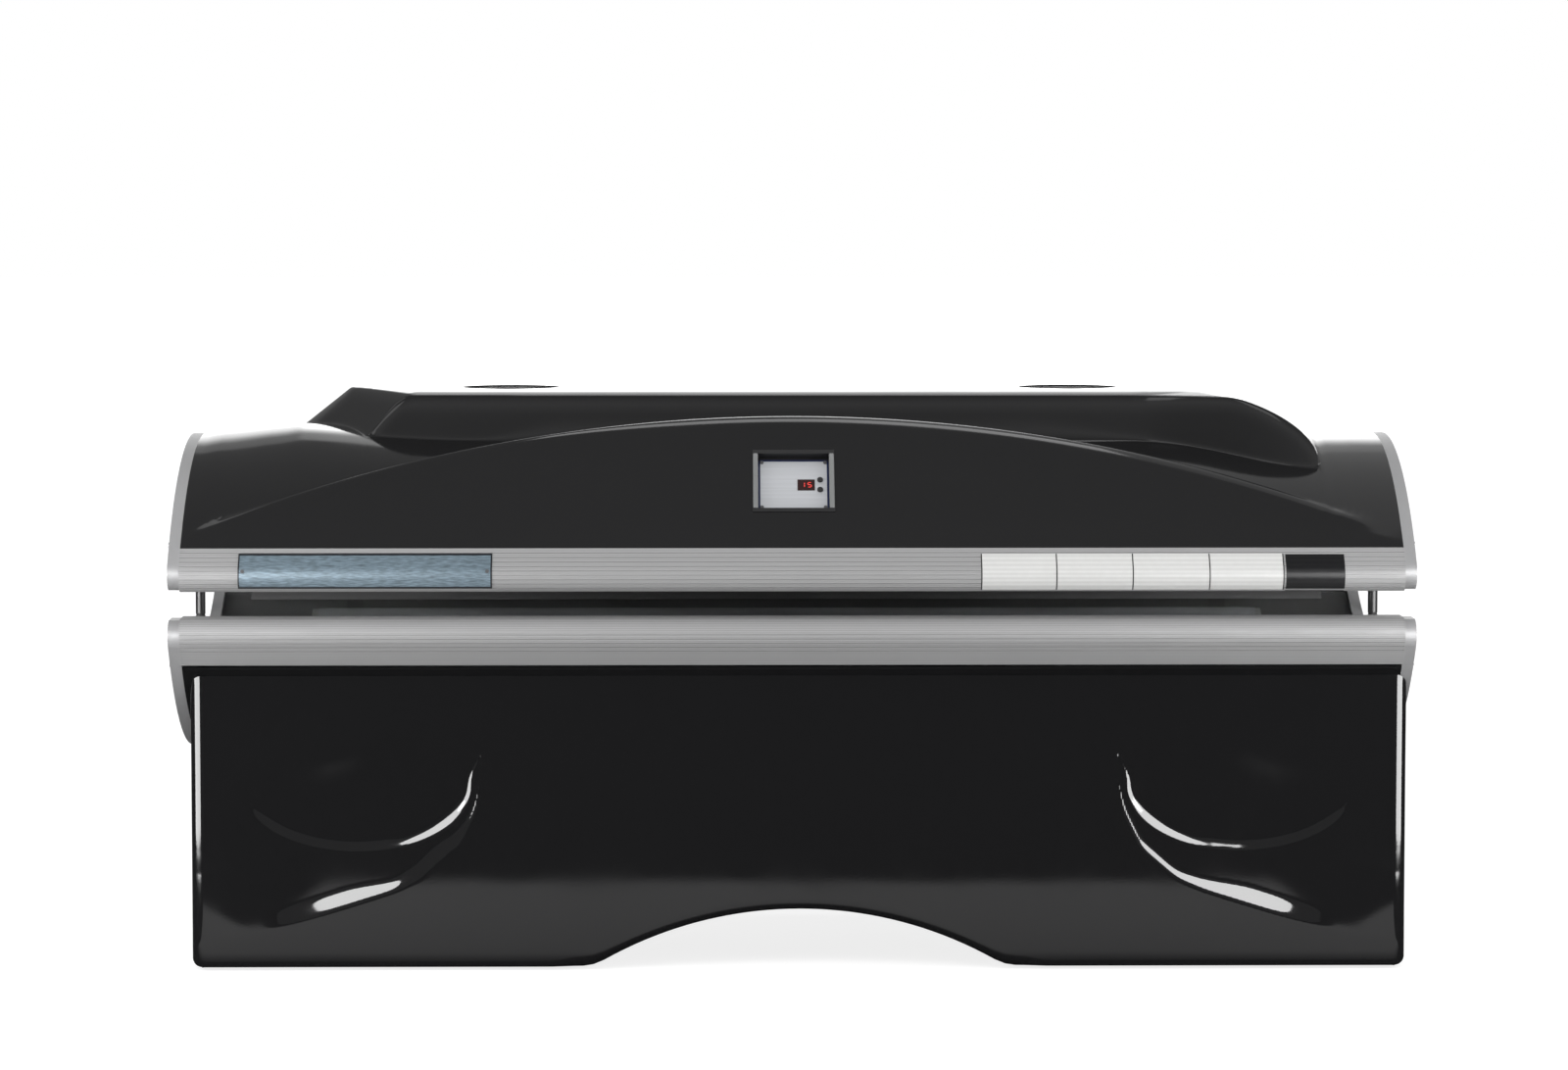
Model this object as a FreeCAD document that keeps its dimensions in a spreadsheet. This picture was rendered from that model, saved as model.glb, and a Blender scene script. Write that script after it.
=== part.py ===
"""Clamshell tanning bed, a parametric assembly in millimetres.

The bed lies along X, its open front faces -Y and it stands on Z = 0, with the origin at the
bottom centre of its bounding box. The bench is the fixed lower clam. The canopy is the upper
clam, hinged to the bench at the rear and carried by a gas spring at each end.

Both clams share one cross-section, drawn in (y, w): w is the distance from the clam's own
lip, the edge that faces the other clam, so w grows downwards on the bench and upwards on
the canopy.
"""
import FreeCAD
import Part
import Sketcher
import math
import os

Vector = FreeCAD.Vector

# Name, value in millimetres (or degrees, or a count), meaning.
SIZES = [
    ("shell_length", 2120, "length between the two end caps"),
    ("bed_depth", 900, "front nose to rear nose"),
    ("bench_height", 538, "floor to the lower edge of the bench rails"),
    ("bench_rail_height", 83, "height of the bench rails"),
    ("lip_gap", 46, "closed gap between bench rails and canopy rails"),
    ("canopy_rail_height", 75, "height of the canopy rails"),
    ("belly_drop", 180, "bench rail's lower edge to the lowest point of the belly"),
    ("crown_rise", 178, "canopy rail's upper edge to the crown of the canopy shell"),
    ("nose_radius", 28, "rounding of the rails' lips"),
    ("rail_depth", 75, "depth of the rails' hollow section"),
    ("rail_wall", 3, "wall of the rail extrusions"),
    ("ledge_width", 14, "ledge inside the rail that carries the acrylic"),
    ("rib_groove_width", 1.8, "width of the grooves along the rails"),
    ("rib_groove_depth", 1, "depth of the grooves along the rails"),
    ("rib_groove_pitch", 7.4, "spacing of the grooves along the rails"),
    ("bench_groove_count", 5, "grooves on a bench rail"),
    ("canopy_groove_count", 9, "grooves on a canopy rail"),
    ("cap_thickness", 20, "end cap, over its rim"),
    ("cap_wall", 4, "end cap's outer wall"),
    ("cap_rim", 9, "width of the end cap's rim"),
    ("cap_setback", 3, "end cap's lip behind the rail's lip"),
    ("cap_cover", 5, "how far the end cap covers the edge of the acrylic"),
    ("shell_wall", 4, "canopy shell's wall"),
    ("belly_wall", 3, "belly pan's wall"),
    ("face_gap", 0.3, "gap left between seated curved pieces"),
    ("bench_acrylic", 5, "bench acrylic's thickness"),
    ("bench_acrylic_dip", 110, "bench lip to the lowest point of the lying surface"),
    ("bench_acrylic_edge", 12.7, "bench lip to the upper edge of the acrylic"),
    ("canopy_acrylic", 4, "canopy acrylic's thickness"),
    ("canopy_acrylic_dip", 165, "canopy lip to the highest point of its acrylic"),
    ("canopy_acrylic_edge", 3.3, "canopy lip to the lower edge of the acrylic"),
    ("acrylic_end_gap", 1, "acrylic's end to the end cap"),
    ("acrylic_side_gap", 2, "acrylic's edge to the rail"),
    ("lamp_count", 12, "lamps in each clam"),
    ("lamp_radius", 19, "lamp tube"),
    ("lamp_glass", 1, "wall of a lamp's tube"),
    ("lamp_cap_radius", 18.4, "metal caps of a lamp"),
    ("lamp_cap_length", 18, "metal caps of a lamp"),
    ("lamp_length", 1764, "lamp between the faces of its caps"),
    ("lamp_pitch", 62, "lamp to lamp along their arc"),
    ("lamp_clearance", 7, "acrylic to lamp"),
    ("lamp_pin_radius", 1.2, "contact pins of a lamp"),
    ("lamp_pin_length", 7, "contact pins of a lamp"),
    ("lamp_pin_spacing", 12.7, "contact pins of a lamp"),
    ("holder_width", 25, "lampholder across the lamp"),
    ("holder_thickness", 12, "lampholder along the lamp"),
    ("holder_reach", 12, "lampholder beyond the lamp's axis"),
    ("holder_slot", 3.4, "slot in the lampholder for the pins"),
    ("holder_slot_floor", 5, "lampholder beyond the end of its slot"),
    ("reflector_gap", 6, "lamp to reflector"),
    ("reflector_wall", 1.2, "reflector sheet"),
    ("crease_rise", 24, "canopy rail's upper edge to the lower edge of the lens face"),
    ("lens_slope", 48, "degrees from level of the lens face"),
    ("ridge_rise", 194, "lens face's lower edge to the apex of its arched ridge"),
    ("ridge_half_span", 1050, "middle to where the ridge meets the shell's crease"),
    ("ridge_back_slope", 0.35, "fall of the shell behind the ridge, as a ratio"),
    ("hood_rise", 83, "crown to the top of the hood"),
    ("hood_front", 85, "middle of the bed to the hood's front wall, at its top"),
    ("hood_front_rake", 14, "lean of the hood's front wall over its height"),
    ("hood_edge_radius", 32, "rounding along the hood's front edge"),
    ("hood_rear", 205, "middle of the bed to the rear edge of the hood's top"),
    ("hood_rear_run", 140, "run of the hood's sloping rear"),
    ("hood_depth", 205, "height of the hood's sloping rear"),
    ("hood_root", 40, "depth of the hood's block below the shell at its rear"),
    ("hood_left", 658, "middle to the left end of the hood's front edge"),
    ("hood_left_end", 798, "middle to the hood's left end, behind its swept corner"),
    ("hood_left_run", 80, "run of the hood's slanted left end"),
    ("hood_left_sweep", 0.9, "sideways sweep of the left corner per length rearwards"),
    ("hood_right", 736, "middle to the start of the hood's right ramp"),
    ("hood_right_run", 194, "run of the hood's right ramp"),
    ("hood_right_drop", 123, "fall of the hood's right ramp"),
    ("hood_ramp_lean", 0.12, "how far the ramp's middle bulges outwards, per run"),
    ("hood_ramp_fall", 0.28, "fall at the ramp's middle, per drop"),
    ("fan_spacing", 1016, "fan to fan"),
    ("fan_offset", 62, "fans behind the middle of the bed"),
    ("fan_outlet_radius", 90, "outlet holes in the hood"),
    ("guard_radius", 98, "fan guard's ring"),
    ("guard_thickness", 3, "fan guard"),
    ("guard_bar", 3, "width of the fan guard's bars"),
    ("guard_bar_count", 7, "bars of the fan guard"),
    ("fan_flange", 200, "side of the fan's square flange"),
    ("fan_flange_thickness", 4, "fan's flange"),
    ("fan_depth", 50, "fan's barrel and flange"),
    ("fan_barrel_radius", 88, "outside of the fan's barrel"),
    ("fan_barrel_wall", 5, "fan's barrel"),
    ("fan_strut", 7, "struts that carry the fan motor"),
    ("fan_motor_radius", 31, "fan motor"),
    ("fan_motor_height", 18, "fan motor"),
    ("fan_shaft_radius", 4, "rotor's shaft"),
    ("fan_running_fit", 0.05, "rotor's shaft in the motor"),
    ("fan_bore_floor", 3, "floor of the motor's bore"),
    ("rotor_end_play", 1, "end of the shaft to the bore's floor"),
    ("rotor_tip_gap", 4, "blade tip to barrel"),
    ("rotor_hub_radius", 33, "rotor's hub"),
    ("rotor_hub_height", 20, "rotor's hub"),
    ("rotor_hub_gap", 2, "hub to motor"),
    ("rotor_blade_count", 7, "blades of a rotor"),
    ("rotor_blade_width", 26, "blade along its root"),
    ("rotor_blade_thickness", 2, "blade"),
    ("rotor_blade_pitch", 35, "degrees, blade to the plane of rotation"),
    ("canopy_rib_count", 4, "arched ribs that carry the canopy's reflector and tray"),
    ("canopy_rib_wall", 3, "rib plate"),
    ("canopy_rib_reach", 860, "middle to the outermost rib"),
    ("canopy_rib_clearance", 14, "rib to the canopy shell"),
    ("tray_length", 1760, "ballast trays"),
    ("tray_width", 240, "canopy ballast tray"),
    ("tray_wall", 2, "ballast tray sheet"),
    ("tray_clearance", 8, "canopy's reflector to its ballast tray"),
    ("tray_margin", 10, "outer ballasts to the edge of the bench tray"),
    ("tray_web", 50, "width of the web that carries the bench tray"),
    ("ballast_length", 190, "ballast"),
    ("ballast_width", 60, "ballast"),
    ("ballast_height", 36, "ballast"),
    ("ballast_foot", 14, "mounting feet at the ballast's ends"),
    ("ballast_row_gap", 110, "ballast row to ballast row"),
    ("ballast_pitch", 262, "ballast to ballast along a row"),
    ("ballast_shift", 20, "canopy's ballasts behind the middle of the bed"),
    ("panel_rise", 116, "lens face's lower edge to the middle of the control panel"),
    ("panel_offset", 3, "control panel right of the middle"),
    ("bezel_width", 144, "control bezel over its flange"),
    ("bezel_height", 138, "control bezel over its flange"),
    ("bezel_flange", 5, "bezel's flange round its tub"),
    ("bezel_wall", 3, "bezel's walls"),
    ("bezel_depth", 16, "bezel's tub, below the shell's face"),
    ("bezel_land", 9, "land inside the bezel that carries the plate"),
    ("plate_width", 124, "control plate"),
    ("plate_height", 112, "control plate"),
    ("plate_corner", 6, "control plate's corners"),
    ("plate_thickness", 1.5, "control plate"),
    ("window_width", 30, "display window"),
    ("window_height", 24, "display window"),
    ("window_x", 22, "display window right of the plate's middle"),
    ("window_thickness", 2, "display window"),
    ("button_x", 46.5, "buttons right of the plate's middle"),
    ("button_spacing", 22, "button to button"),
    ("button_radius", 5, "button"),
    ("button_flange_radius", 6, "button's retaining flange"),
    ("button_flange", 1.5, "button's retaining flange"),
    ("button_height", 2.5, "button above the plate"),
    ("button_travel", 1.2, "button's travel"),
    ("board_width", 96, "timer board"),
    ("board_height", 80, "timer board"),
    ("board_thickness", 1.6, "timer board"),
    ("board_depth", 20, "plate's back to the timer board"),
    ("standoff_radius", 3, "timer board's standoffs"),
    ("standoff_inset", 6, "edges of the timer board to its standoffs"),
    ("switch_side", 8, "square switches behind the buttons"),
    ("screw_head_radius", 3.2, "small pan heads"),
    ("screw_head_height", 1.8, "small pan heads"),
    ("screw_inset_x", 55.5, "plate screws from the plate's middle"),
    ("screw_inset_y", 50, "plate screws from the plate's middle"),
    ("nameplate_start", 958, "middle to the nameplate's left end"),
    ("nameplate_length", 438, "nameplate"),
    ("nameplate_low", 8, "canopy lip to the nameplate's lower edge"),
    ("nameplate_high", 66, "canopy lip to the nameplate's upper edge"),
    ("nameplate_thickness", 1, "nameplate"),
    ("nameplate_screw_inset", 8, "nameplate's ends to its screws"),
    ("base_half_width", 1061, "base's own middle to the outer face of its sides"),
    ("base_offset", 12, "bed's middle to the base's, to the right"),
    ("base_wall", 5, "base panels"),
    ("base_front_inset", 57, "front nose back to the base front panel's face"),
    ("base_return", 60, "depth of the base front panel's returns"),
    ("base_rear_inset", 65, "rear nose back to the rear edge of the side panels"),
    ("base_clearance", 6, "floor to the base panels"),
    ("base_corner", 22, "rounding of the base front panel's upright corners"),
    ("panel_reveal", 18, "bench rail down to the base front panel's top edge"),
    ("arch_height", 106, "floor to the top of the toe arch"),
    ("arch_half_width", 369, "half the toe arch at the floor"),
    ("ledge_x", 797, "base's middle to the middle of a scoop's ledge"),
    ("ledge_z", 290, "floor to the middle of a scoop's ledge"),
    ("ledge_half_width", 240, "scoop's ledge"),
    ("ledge_half_height", 205, "scoop's ledge"),
    ("ledge_depth", 15, "scoop's ledge"),
    ("dish_x", 772, "base's middle to the middle of a scoop's dish"),
    ("dish_z", 326, "floor to the middle of a scoop's dish"),
    ("dish_half_width", 216, "scoop's dish"),
    ("dish_half_height", 114, "scoop's dish"),
    ("dish_depth", 38, "scoop's dish"),
    ("hollow_standoff", 0.6, "a hollow's ellipsoid ahead of the panel, per half its depth"),
    ("post_inset", 145, "noses back to the posts"),
    ("post_side", 40, "square tube of the posts"),
    ("tube_wall", 2.5, "frame tube"),
    ("post_foot_gap", 24, "floor to the underside of a post"),
    ("saddle_wall", 6, "saddle plate"),
    ("saddle_base", 330, "floor to a saddle plate's lower edge"),
    ("rail_tube_height", 40, "cross rail tube"),
    ("rail_tube_width", 30, "cross rail tube"),
    ("rail_tube_z", 150, "floor to the middle of the cross rails"),
    ("foot_radius", 18, "levelling foot's pad"),
    ("foot_pad", 9, "levelling foot's pad"),
    ("foot_stem_radius", 5, "levelling foot's stem"),
    ("box_length", 180, "mains junction box"),
    ("box_width", 70, "mains junction box"),
    ("box_height", 110, "mains junction box"),
    ("box_x", 700, "middle to the mains junction box"),
    ("gland_radius", 11, "mains cable gland"),
    ("gland_bore", 5, "mains cable gland's bore"),
    ("gland_length", 22, "mains cable gland"),
    ("hinge_x", 820, "middle to a hinge"),
    ("hinge_inset", 30, "rear nose to the hinge's axis"),
    ("hinge_pin_radius", 5, "hinge pin"),
    ("hinge_fit", 0.05, "hinge pin in the knuckle"),
    ("hinge_ear_radius", 12, "hinge ears and knuckle"),
    ("hinge_ear_wall", 6, "hinge ears"),
    ("hinge_knuckle", 30, "width of the canopy's knuckle"),
    ("hinge_side_gap", 0.5, "knuckle to ear"),
    ("hinge_plate", 4, "hinge leaves' plates"),
    ("hinge_plate_depth", 26, "hinge leaves' plates"),
    ("spring_inset", 180, "rear nose to the gas spring's pivots"),
    ("spring_low", 540, "floor to the gas spring's lower pivot"),
    ("spring_length", 220, "gas spring between its pivots, canopy closed"),
    ("spring_offset", 18, "end cap's face to the gas spring's axis"),
    ("spring_tube_radius", 9, "gas spring's cylinder"),
    ("spring_bore", 6.6, "gas spring's cylinder"),
    ("spring_rod_radius", 4, "gas spring's rod"),
    ("spring_running_fit", 0.06, "rod in its guide"),
    ("spring_piston_gap", 0.2, "piston in its cylinder"),
    ("spring_end_wall", 10, "end walls of the gas spring's cylinder"),
    ("spring_eye_radius", 12, "eyelets of the gas spring"),
    ("spring_eye_width", 8, "eyelets of the gas spring"),
    ("spring_neck", 30, "lower pivot to the cylinder, canopy closed"),
    ("stud_radius", 4, "gas spring studs"),
    ("stud_fit", 0.05, "lower eyelet on its stud"),
    ("stud_free_gap", 3.4, "upper eyelet on its stud"),
    ("stud_base_radius", 10, "base of a gas spring stud"),
    ("stud_head_radius", 8.4, "head of a gas spring stud"),
    ("stud_head", 3, "head of a gas spring stud"),
    ("cap_screw_radius", 5, "end cap screws"),
    ("cap_screw_head", 2.5, "end cap screws"),
]

doc = FreeCAD.newDocument("tanning_bed")
sheet = doc.addObject("Spreadsheet::Sheet", "sizes")
for row, (alias, value, meaning) in enumerate(SIZES, start=1):
    sheet.set("A%d" % row, meaning)
    sheet.set("B%d" % row, str(value))
    sheet.setAlias("B%d" % row, alias)
doc.recompute()


class SheetReader:
    """Reads a size by its alias: size.bed_depth is the sheet's bed_depth cell."""

    def __getattr__(self, alias):
        return sheet.get(alias)


size = SheetReader()
nodes = []


# ---------------------------------------------------------------- drawing helpers

def line(start, end):
    return Part.makeLine(start, end)


def arc(start, middle, end):
    return Part.Arc(start, middle, end).toShape()


def face_of(edges):
    return Part.Face(Part.Wire(edges))


def polygon_face(points):
    return Part.Face(Part.makePolygon(list(points) + [points[0]]))


def centred_box(length, width, height, x=0, y=0, z=0):
    """A box centred on x and y, standing on z."""
    corner = Vector(x - length / 2, y - width / 2, z)
    return Part.makeBox(length, width, height, corner)


def along_x(face, start, end):
    """Extrudes a face of the YZ plane from x = start to x = end."""
    placed = face.copy()
    placed.translate(Vector(start, 0, 0))
    return placed.extrude(Vector(end - start, 0, 0))


def rod_x(radius, start, end, y, z):
    return Part.makeCylinder(radius, end - start, Vector(start, y, z), Vector(1, 0, 0))


def mirrored_x(shape):
    return shape.mirror(Vector(0, 0, 0), Vector(1, 0, 0))


def mirrored_y(shape):
    return shape.mirror(Vector(0, 0, 0), Vector(0, 1, 0))


def add_piece(label, solids):
    """Adds a sub-part that holds one solid or several separate ones."""
    group = solids if isinstance(solids, list) else [solids]
    item = doc.addObject("Part::Feature", label)
    item.Shape = group[0] if len(group) == 1 else Part.makeCompound(group)
    item.Label = label
    nodes.append(item)
    return item


def add_body(label, placement):
    body = doc.addObject("PartDesign::Body", label)
    body.Label = label
    body.Placement = placement
    nodes.append(body)
    return body


def origin_plane(body, role):
    for feature in body.Origin.OriginFeatures:
        if feature.Role == role:
            return feature
    raise ValueError(role)


def new_sketch(body, name, role="XY_Plane", height=None):
    sketch = body.newObject("Sketcher::SketchObject", name)
    sketch.AttachmentSupport = [(origin_plane(body, role), "")]
    sketch.MapMode = "FlatFace"
    if height is not None:
        sketch.setExpression("AttachmentOffset.Base.z", height)
    return sketch


def bind(sketch, constraint, expression):
    """Adds a driving constraint and binds it to the sizes sheet."""
    index = sketch.addConstraint(constraint)
    sketch.setExpression("Constraints[%d]" % index, expression)


def draw_outline(sketch, corners):
    """Closed outline of straight lines. Each corner is a pair of expressions."""
    first = sketch.GeometryCount
    count = len(corners)
    for i in range(count):
        start = Vector(10 + 7 * i, 10 + 3 * i * i, 0)
        end = Vector(10 + 7 * (i + 1), 10 + 3 * (i + 1) * (i + 1), 0)
        sketch.addGeometry(Part.LineSegment(start, end), False)
    for i, (across, up) in enumerate(corners):
        edge = first + i
        previous = first + (i - 1) % count
        sketch.addConstraint(Sketcher.Constraint("Coincident", previous, 2, edge, 1))
        bind(sketch, Sketcher.Constraint("DistanceX", -1, 1, edge, 1, 10.0), across)
        bind(sketch, Sketcher.Constraint("DistanceY", -1, 1, edge, 1, 10.0), up)


def draw_rectangle(sketch, width, height, across="0", up="0"):
    """Rectangle of the two size expressions, centred on (across, up)."""
    left = "%s - (%s) / 2" % (across, width)
    right = "%s + (%s) / 2" % (across, width)
    low = "%s - (%s) / 2" % (up, height)
    high = "%s + (%s) / 2" % (up, height)
    draw_outline(sketch, [(left, low), (right, low), (right, high), (left, high)])


def draw_circle(sketch, radius, across="0", up="0"):
    edge = sketch.addGeometry(Part.Circle(Vector(1, 1, 0), Vector(0, 0, 1), 5), False)
    bind(sketch, Sketcher.Constraint("Radius", edge, 5.0), radius)
    bind(sketch, Sketcher.Constraint("DistanceX", -1, 1, edge, 3, 1.0), across)
    bind(sketch, Sketcher.Constraint("DistanceY", -1, 1, edge, 3, 1.0), up)


def pad(body, sketch, length, reverse=False):
    feature = body.newObject("PartDesign::Pad", sketch.Name + "_pad")
    feature.Profile = sketch
    feature.setExpression("Length", length)
    feature.Reversed = reverse
    sketch.Visibility = False
    return feature


def pocket(body, sketch, length, reverse=False):
    feature = body.newObject("PartDesign::Pocket", sketch.Name + "_pocket")
    feature.Profile = sketch
    feature.setExpression("Length", length)
    feature.Reversed = reverse
    return feature


def revolve(body, sketch):
    """Revolves a sketch of the XZ plane about its vertical axis."""
    feature = body.newObject("PartDesign::Revolution", sketch.Name + "_turn")
    feature.Profile = sketch
    feature.ReferenceAxis = (sketch, ["V_Axis"])
    feature.Angle = 360
    return feature


# ---------------------------------------------------------------- the clams

class Clam:
    """Section of the bench or the canopy in (y, w), w measured from its lip."""

    def __init__(self, up, lip, rail_height, apex, acrylic, acrylic_dip, acrylic_edge):
        self.up = up
        self.lip = lip
        self.rail_height = rail_height
        self.apex = apex
        self.acrylic = acrylic
        self.acrylic_edge = acrylic_edge
        self.acrylic_dip = acrylic_dip
        nose_y = size.bed_depth / 2 - size.nose_radius
        rise = apex - size.nose_radius
        self.radius = ((nose_y ** 2 + rise ** 2 - size.nose_radius ** 2)
                       / (2 * (rise - size.nose_radius)))
        self.centre = apex - self.radius
        half_chord = self.inner_y() - size.acrylic_side_gap
        sagitta = acrylic_dip - acrylic_edge
        self.acrylic_radius = (half_chord ** 2 + sagitta ** 2) / (2 * sagitta)
        self.acrylic_centre = acrylic_dip - self.acrylic_radius
        self.acrylic_half = half_chord
        self.lamp_arc = self.acrylic_radius + acrylic + size.lamp_clearance + size.lamp_radius
        self.reflector_radius = self.lamp_arc + size.lamp_radius + size.reflector_gap

    def inner_y(self):
        return size.bed_depth / 2 - size.rail_depth

    def z(self, w):
        return self.lip + self.up * w

    def point(self, y, w, x=0):
        return Vector(x, y, self.z(w))

    def outer_w(self, y, inset=0):
        """Height of the outer arc over y, moved inwards by inset."""
        return self.centre + math.sqrt((self.radius - inset) ** 2 - y ** 2)

    def outer_y(self, w, inset=0):
        return math.sqrt((self.radius - inset) ** 2 - (w - self.centre) ** 2)

    def arc_between(self, y_start, y_end, radius, centre):
        """Arc about (0, centre) from y_start to y_end on its apex side."""
        middle = (y_start + y_end) / 2
        points = []
        for y in (y_start, middle, y_end):
            points.append(self.point(y, centre + math.sqrt(radius ** 2 - y ** 2)))
        return arc(*points)

    def nose(self, setback=0):
        """Centre of the lip's rounding, and where it meets the outer arc."""
        w = size.nose_radius + setback
        y = math.sqrt((self.radius - size.nose_radius) ** 2 - (w - self.centre) ** 2)
        scale = self.radius / (self.radius - size.nose_radius)
        return (y, w), (y * scale, self.centre + (w - self.centre) * scale)

    def nose_point(self, angle, growth=0, setback=0):
        """Point of the front lip's rounding. 0 degrees faces forward, 90 away from the clam."""
        (y, w), _ = self.nose(setback)
        reach = size.nose_radius + growth
        turn = math.radians(angle)
        return (-y - reach * math.cos(turn), w - reach * math.sin(turn))

    def nose_start(self):
        """Angle on the front lip's rounding at which the outer arc begins."""
        (y, w), (y_join, w_join) = self.nose()
        return -math.degrees(math.atan2(w_join - w, y_join - y))


floor_to_bench_lip = size.bench_height + size.bench_rail_height
floor_to_canopy_lip = floor_to_bench_lip + size.lip_gap
bench = Clam(-1, floor_to_bench_lip, size.bench_rail_height,
             size.bench_rail_height + size.belly_drop,
             size.bench_acrylic, size.bench_acrylic_dip, size.bench_acrylic_edge)
canopy = Clam(1, floor_to_canopy_lip, size.canopy_rail_height,
              size.canopy_rail_height + size.crown_rise,
              size.canopy_acrylic, size.canopy_acrylic_dip, size.canopy_acrylic_edge)
half_shell = size.shell_length / 2
inner_y = size.bed_depth / 2 - size.rail_depth


def rail_outline(clam):
    """Front rail's outer outline, counted from the lip's flat round the nose."""
    (y, w), (y_join, w_join) = clam.nose()
    far_y = clam.outer_y(clam.rail_height)
    middle_y = (y_join + far_y) / 2
    lip_inner = clam.point(-inner_y, 0)
    lip_outer = clam.point(-y, 0)
    nose_middle = clam.point(*clam.nose_point((90 + clam.nose_start()) / 2))
    join = clam.point(-y_join, w_join)
    bow = clam.point(-middle_y, clam.outer_w(middle_y))
    far_outer = clam.point(-far_y, clam.rail_height)
    far_inner = clam.point(-inner_y, clam.rail_height)
    return face_of([
        line(lip_inner, lip_outer),
        arc(lip_outer, nose_middle, join),
        arc(join, bow, far_outer),
        line(far_outer, far_inner),
        line(far_inner, lip_inner),
    ])


def groove_cutters(clam, count):
    """Thin boxes along the rail, centred on the middle of its face."""
    cutters = []
    start = clam.nose_start()
    (nose_y, nose_w), (y_join, w_join) = clam.nose()
    arc_start = math.atan2(w_join - clam.centre, y_join)
    face_middle = clam.rail_height / 2
    for i in range(count):
        w = face_middle + (i - (count - 1) / 2) * size.rib_groove_pitch
        if w >= w_join:
            centre_y, centre_w, radius = 0, clam.centre, clam.radius
        else:
            centre_y, centre_w, radius = nose_y, nose_w, size.nose_radius
        turn = math.asin((w - centre_w) / radius)
        y = centre_y + radius * math.cos(turn)
        cutter = Part.makeBox(size.shell_length + 2, 2 * size.rib_groove_depth,
                              size.rib_groove_width)
        cutter.translate(Vector(-half_shell - 1, -size.rib_groove_depth,
                                -size.rib_groove_width / 2))
        cutter.rotate(Vector(0, 0, 0), Vector(1, 0, 0), -clam.up * math.degrees(turn))
        cutter.translate(clam.point(-y, w))
        cutters.append(cutter)
    return cutters


def front_rail(clam, groove_count):
    outline = rail_outline(clam)
    hollow = outline.makeOffset2D(-size.rail_wall)
    rail = along_x(outline, -half_shell, half_shell)
    rail = rail.cut(along_x(hollow, -half_shell - 1, half_shell + 1))
    if clam.up > 0:
        ledge_w = clam.acrylic_edge - size.face_gap - size.rail_wall
    else:
        ledge_tip = inner_y - size.ledge_width
        under = clam.acrylic_radius + clam.acrylic
        ledge_w = clam.acrylic_centre + math.sqrt(under ** 2 - ledge_tip ** 2) + size.face_gap
    ledge_z = min(clam.z(ledge_w), clam.z(ledge_w + size.rail_wall))
    ledge = Part.makeBox(size.shell_length, size.ledge_width + size.rail_wall, size.rail_wall,
                         Vector(-half_shell, -inner_y - size.rail_wall, ledge_z))
    rail = rail.fuse(ledge)
    return rail.cut(groove_cutters(clam, groove_count)).removeSplitter()


def make_rails():
    for name, clam, grooves in (("bench", bench, int(size.bench_groove_count)),
                                ("canopy", canopy, int(size.canopy_groove_count))):
        rail = front_rail(clam, grooves)
        add_piece(name + "_front_rail", rail)
        add_piece(name + "_rear_rail", mirrored_y(rail))


def cap_outline(clam):
    """End cap's outline: outer arc, both lips and the arc over the lying space."""
    (y, w), (y_join, w_join) = clam.nose(size.cap_setback)
    corner_y = inner_y - size.acrylic_side_gap
    dip = clam.acrylic_dip - size.cap_cover
    sagitta = dip - size.cap_setback
    radius = (corner_y ** 2 + sagitta ** 2) / (2 * sagitta)
    reach = size.nose_radius
    turn = math.radians((90 - math.degrees(math.atan2(w_join - w, y_join - y))) / 2)
    lip_y = y + reach * math.cos(turn)
    lip_w = w - reach * math.sin(turn)
    flat = size.cap_setback
    return face_of([
        arc(clam.point(-y_join, w_join), clam.point(0, clam.apex), clam.point(y_join, w_join)),
        arc(clam.point(y_join, w_join), clam.point(lip_y, lip_w), clam.point(y, flat)),
        line(clam.point(y, flat), clam.point(corner_y, flat)),
        clam.arc_between(corner_y, -corner_y, radius, dip - radius),
        line(clam.point(-corner_y, flat), clam.point(-y, flat)),
        arc(clam.point(-y, flat), clam.point(-lip_y, lip_w), clam.point(-y_join, w_join)),
    ])


def make_end_caps():
    for name, clam in (("bench", bench), ("canopy", canopy)):
        outline = cap_outline(clam)
        hollow = outline.makeOffset2D(-size.cap_rim)
        cap = along_x(outline, half_shell, half_shell + size.cap_thickness)
        tray_depth = size.cap_thickness - size.cap_wall
        cap = cap.cut(along_x(hollow, half_shell - 1, half_shell + tray_depth))
        add_piece(name + "_end_cap_right", cap)
        add_piece(name + "_end_cap_left", mirrored_x(cap))


def arc_sheet(clam, radius, centre, thickness, half_chord, half_length):
    """Sheet bent about (0, centre), inner face at radius, edges cut upright."""
    start = clam.arc_between(-half_chord, half_chord, radius, centre)
    finish = clam.arc_between(half_chord, -half_chord, radius + thickness, centre)
    ends = []
    for y in (half_chord, -half_chord):
        low = clam.point(y, centre + math.sqrt(radius ** 2 - y ** 2))
        high = clam.point(y, centre + math.sqrt((radius + thickness) ** 2 - y ** 2))
        ends.append((low, high))
    section = face_of([start, line(*ends[0]), finish, line(ends[1][1], ends[1][0])])
    return along_x(section, -half_length, half_length)


def make_acrylics_and_reflectors():
    acrylic_half_length = half_shell - size.acrylic_end_gap
    for name, clam in (("bench", bench), ("canopy", canopy)):
        sheet_piece = arc_sheet(clam, clam.acrylic_radius, clam.acrylic_centre, clam.acrylic,
                                clam.acrylic_half, acrylic_half_length)
        add_piece(name + "_acrylic", sheet_piece)
        reflector = arc_sheet(clam, clam.reflector_radius, clam.acrylic_centre,
                              size.reflector_wall, inner_y - size.face_gap, acrylic_half_length)
        add_piece(name + "_reflector", reflector)


def lamp_angles(clam):
    step = size.lamp_pitch / clam.lamp_arc
    count = int(size.lamp_count)
    return [(i - (count - 1) / 2) * step for i in range(count)]


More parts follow.
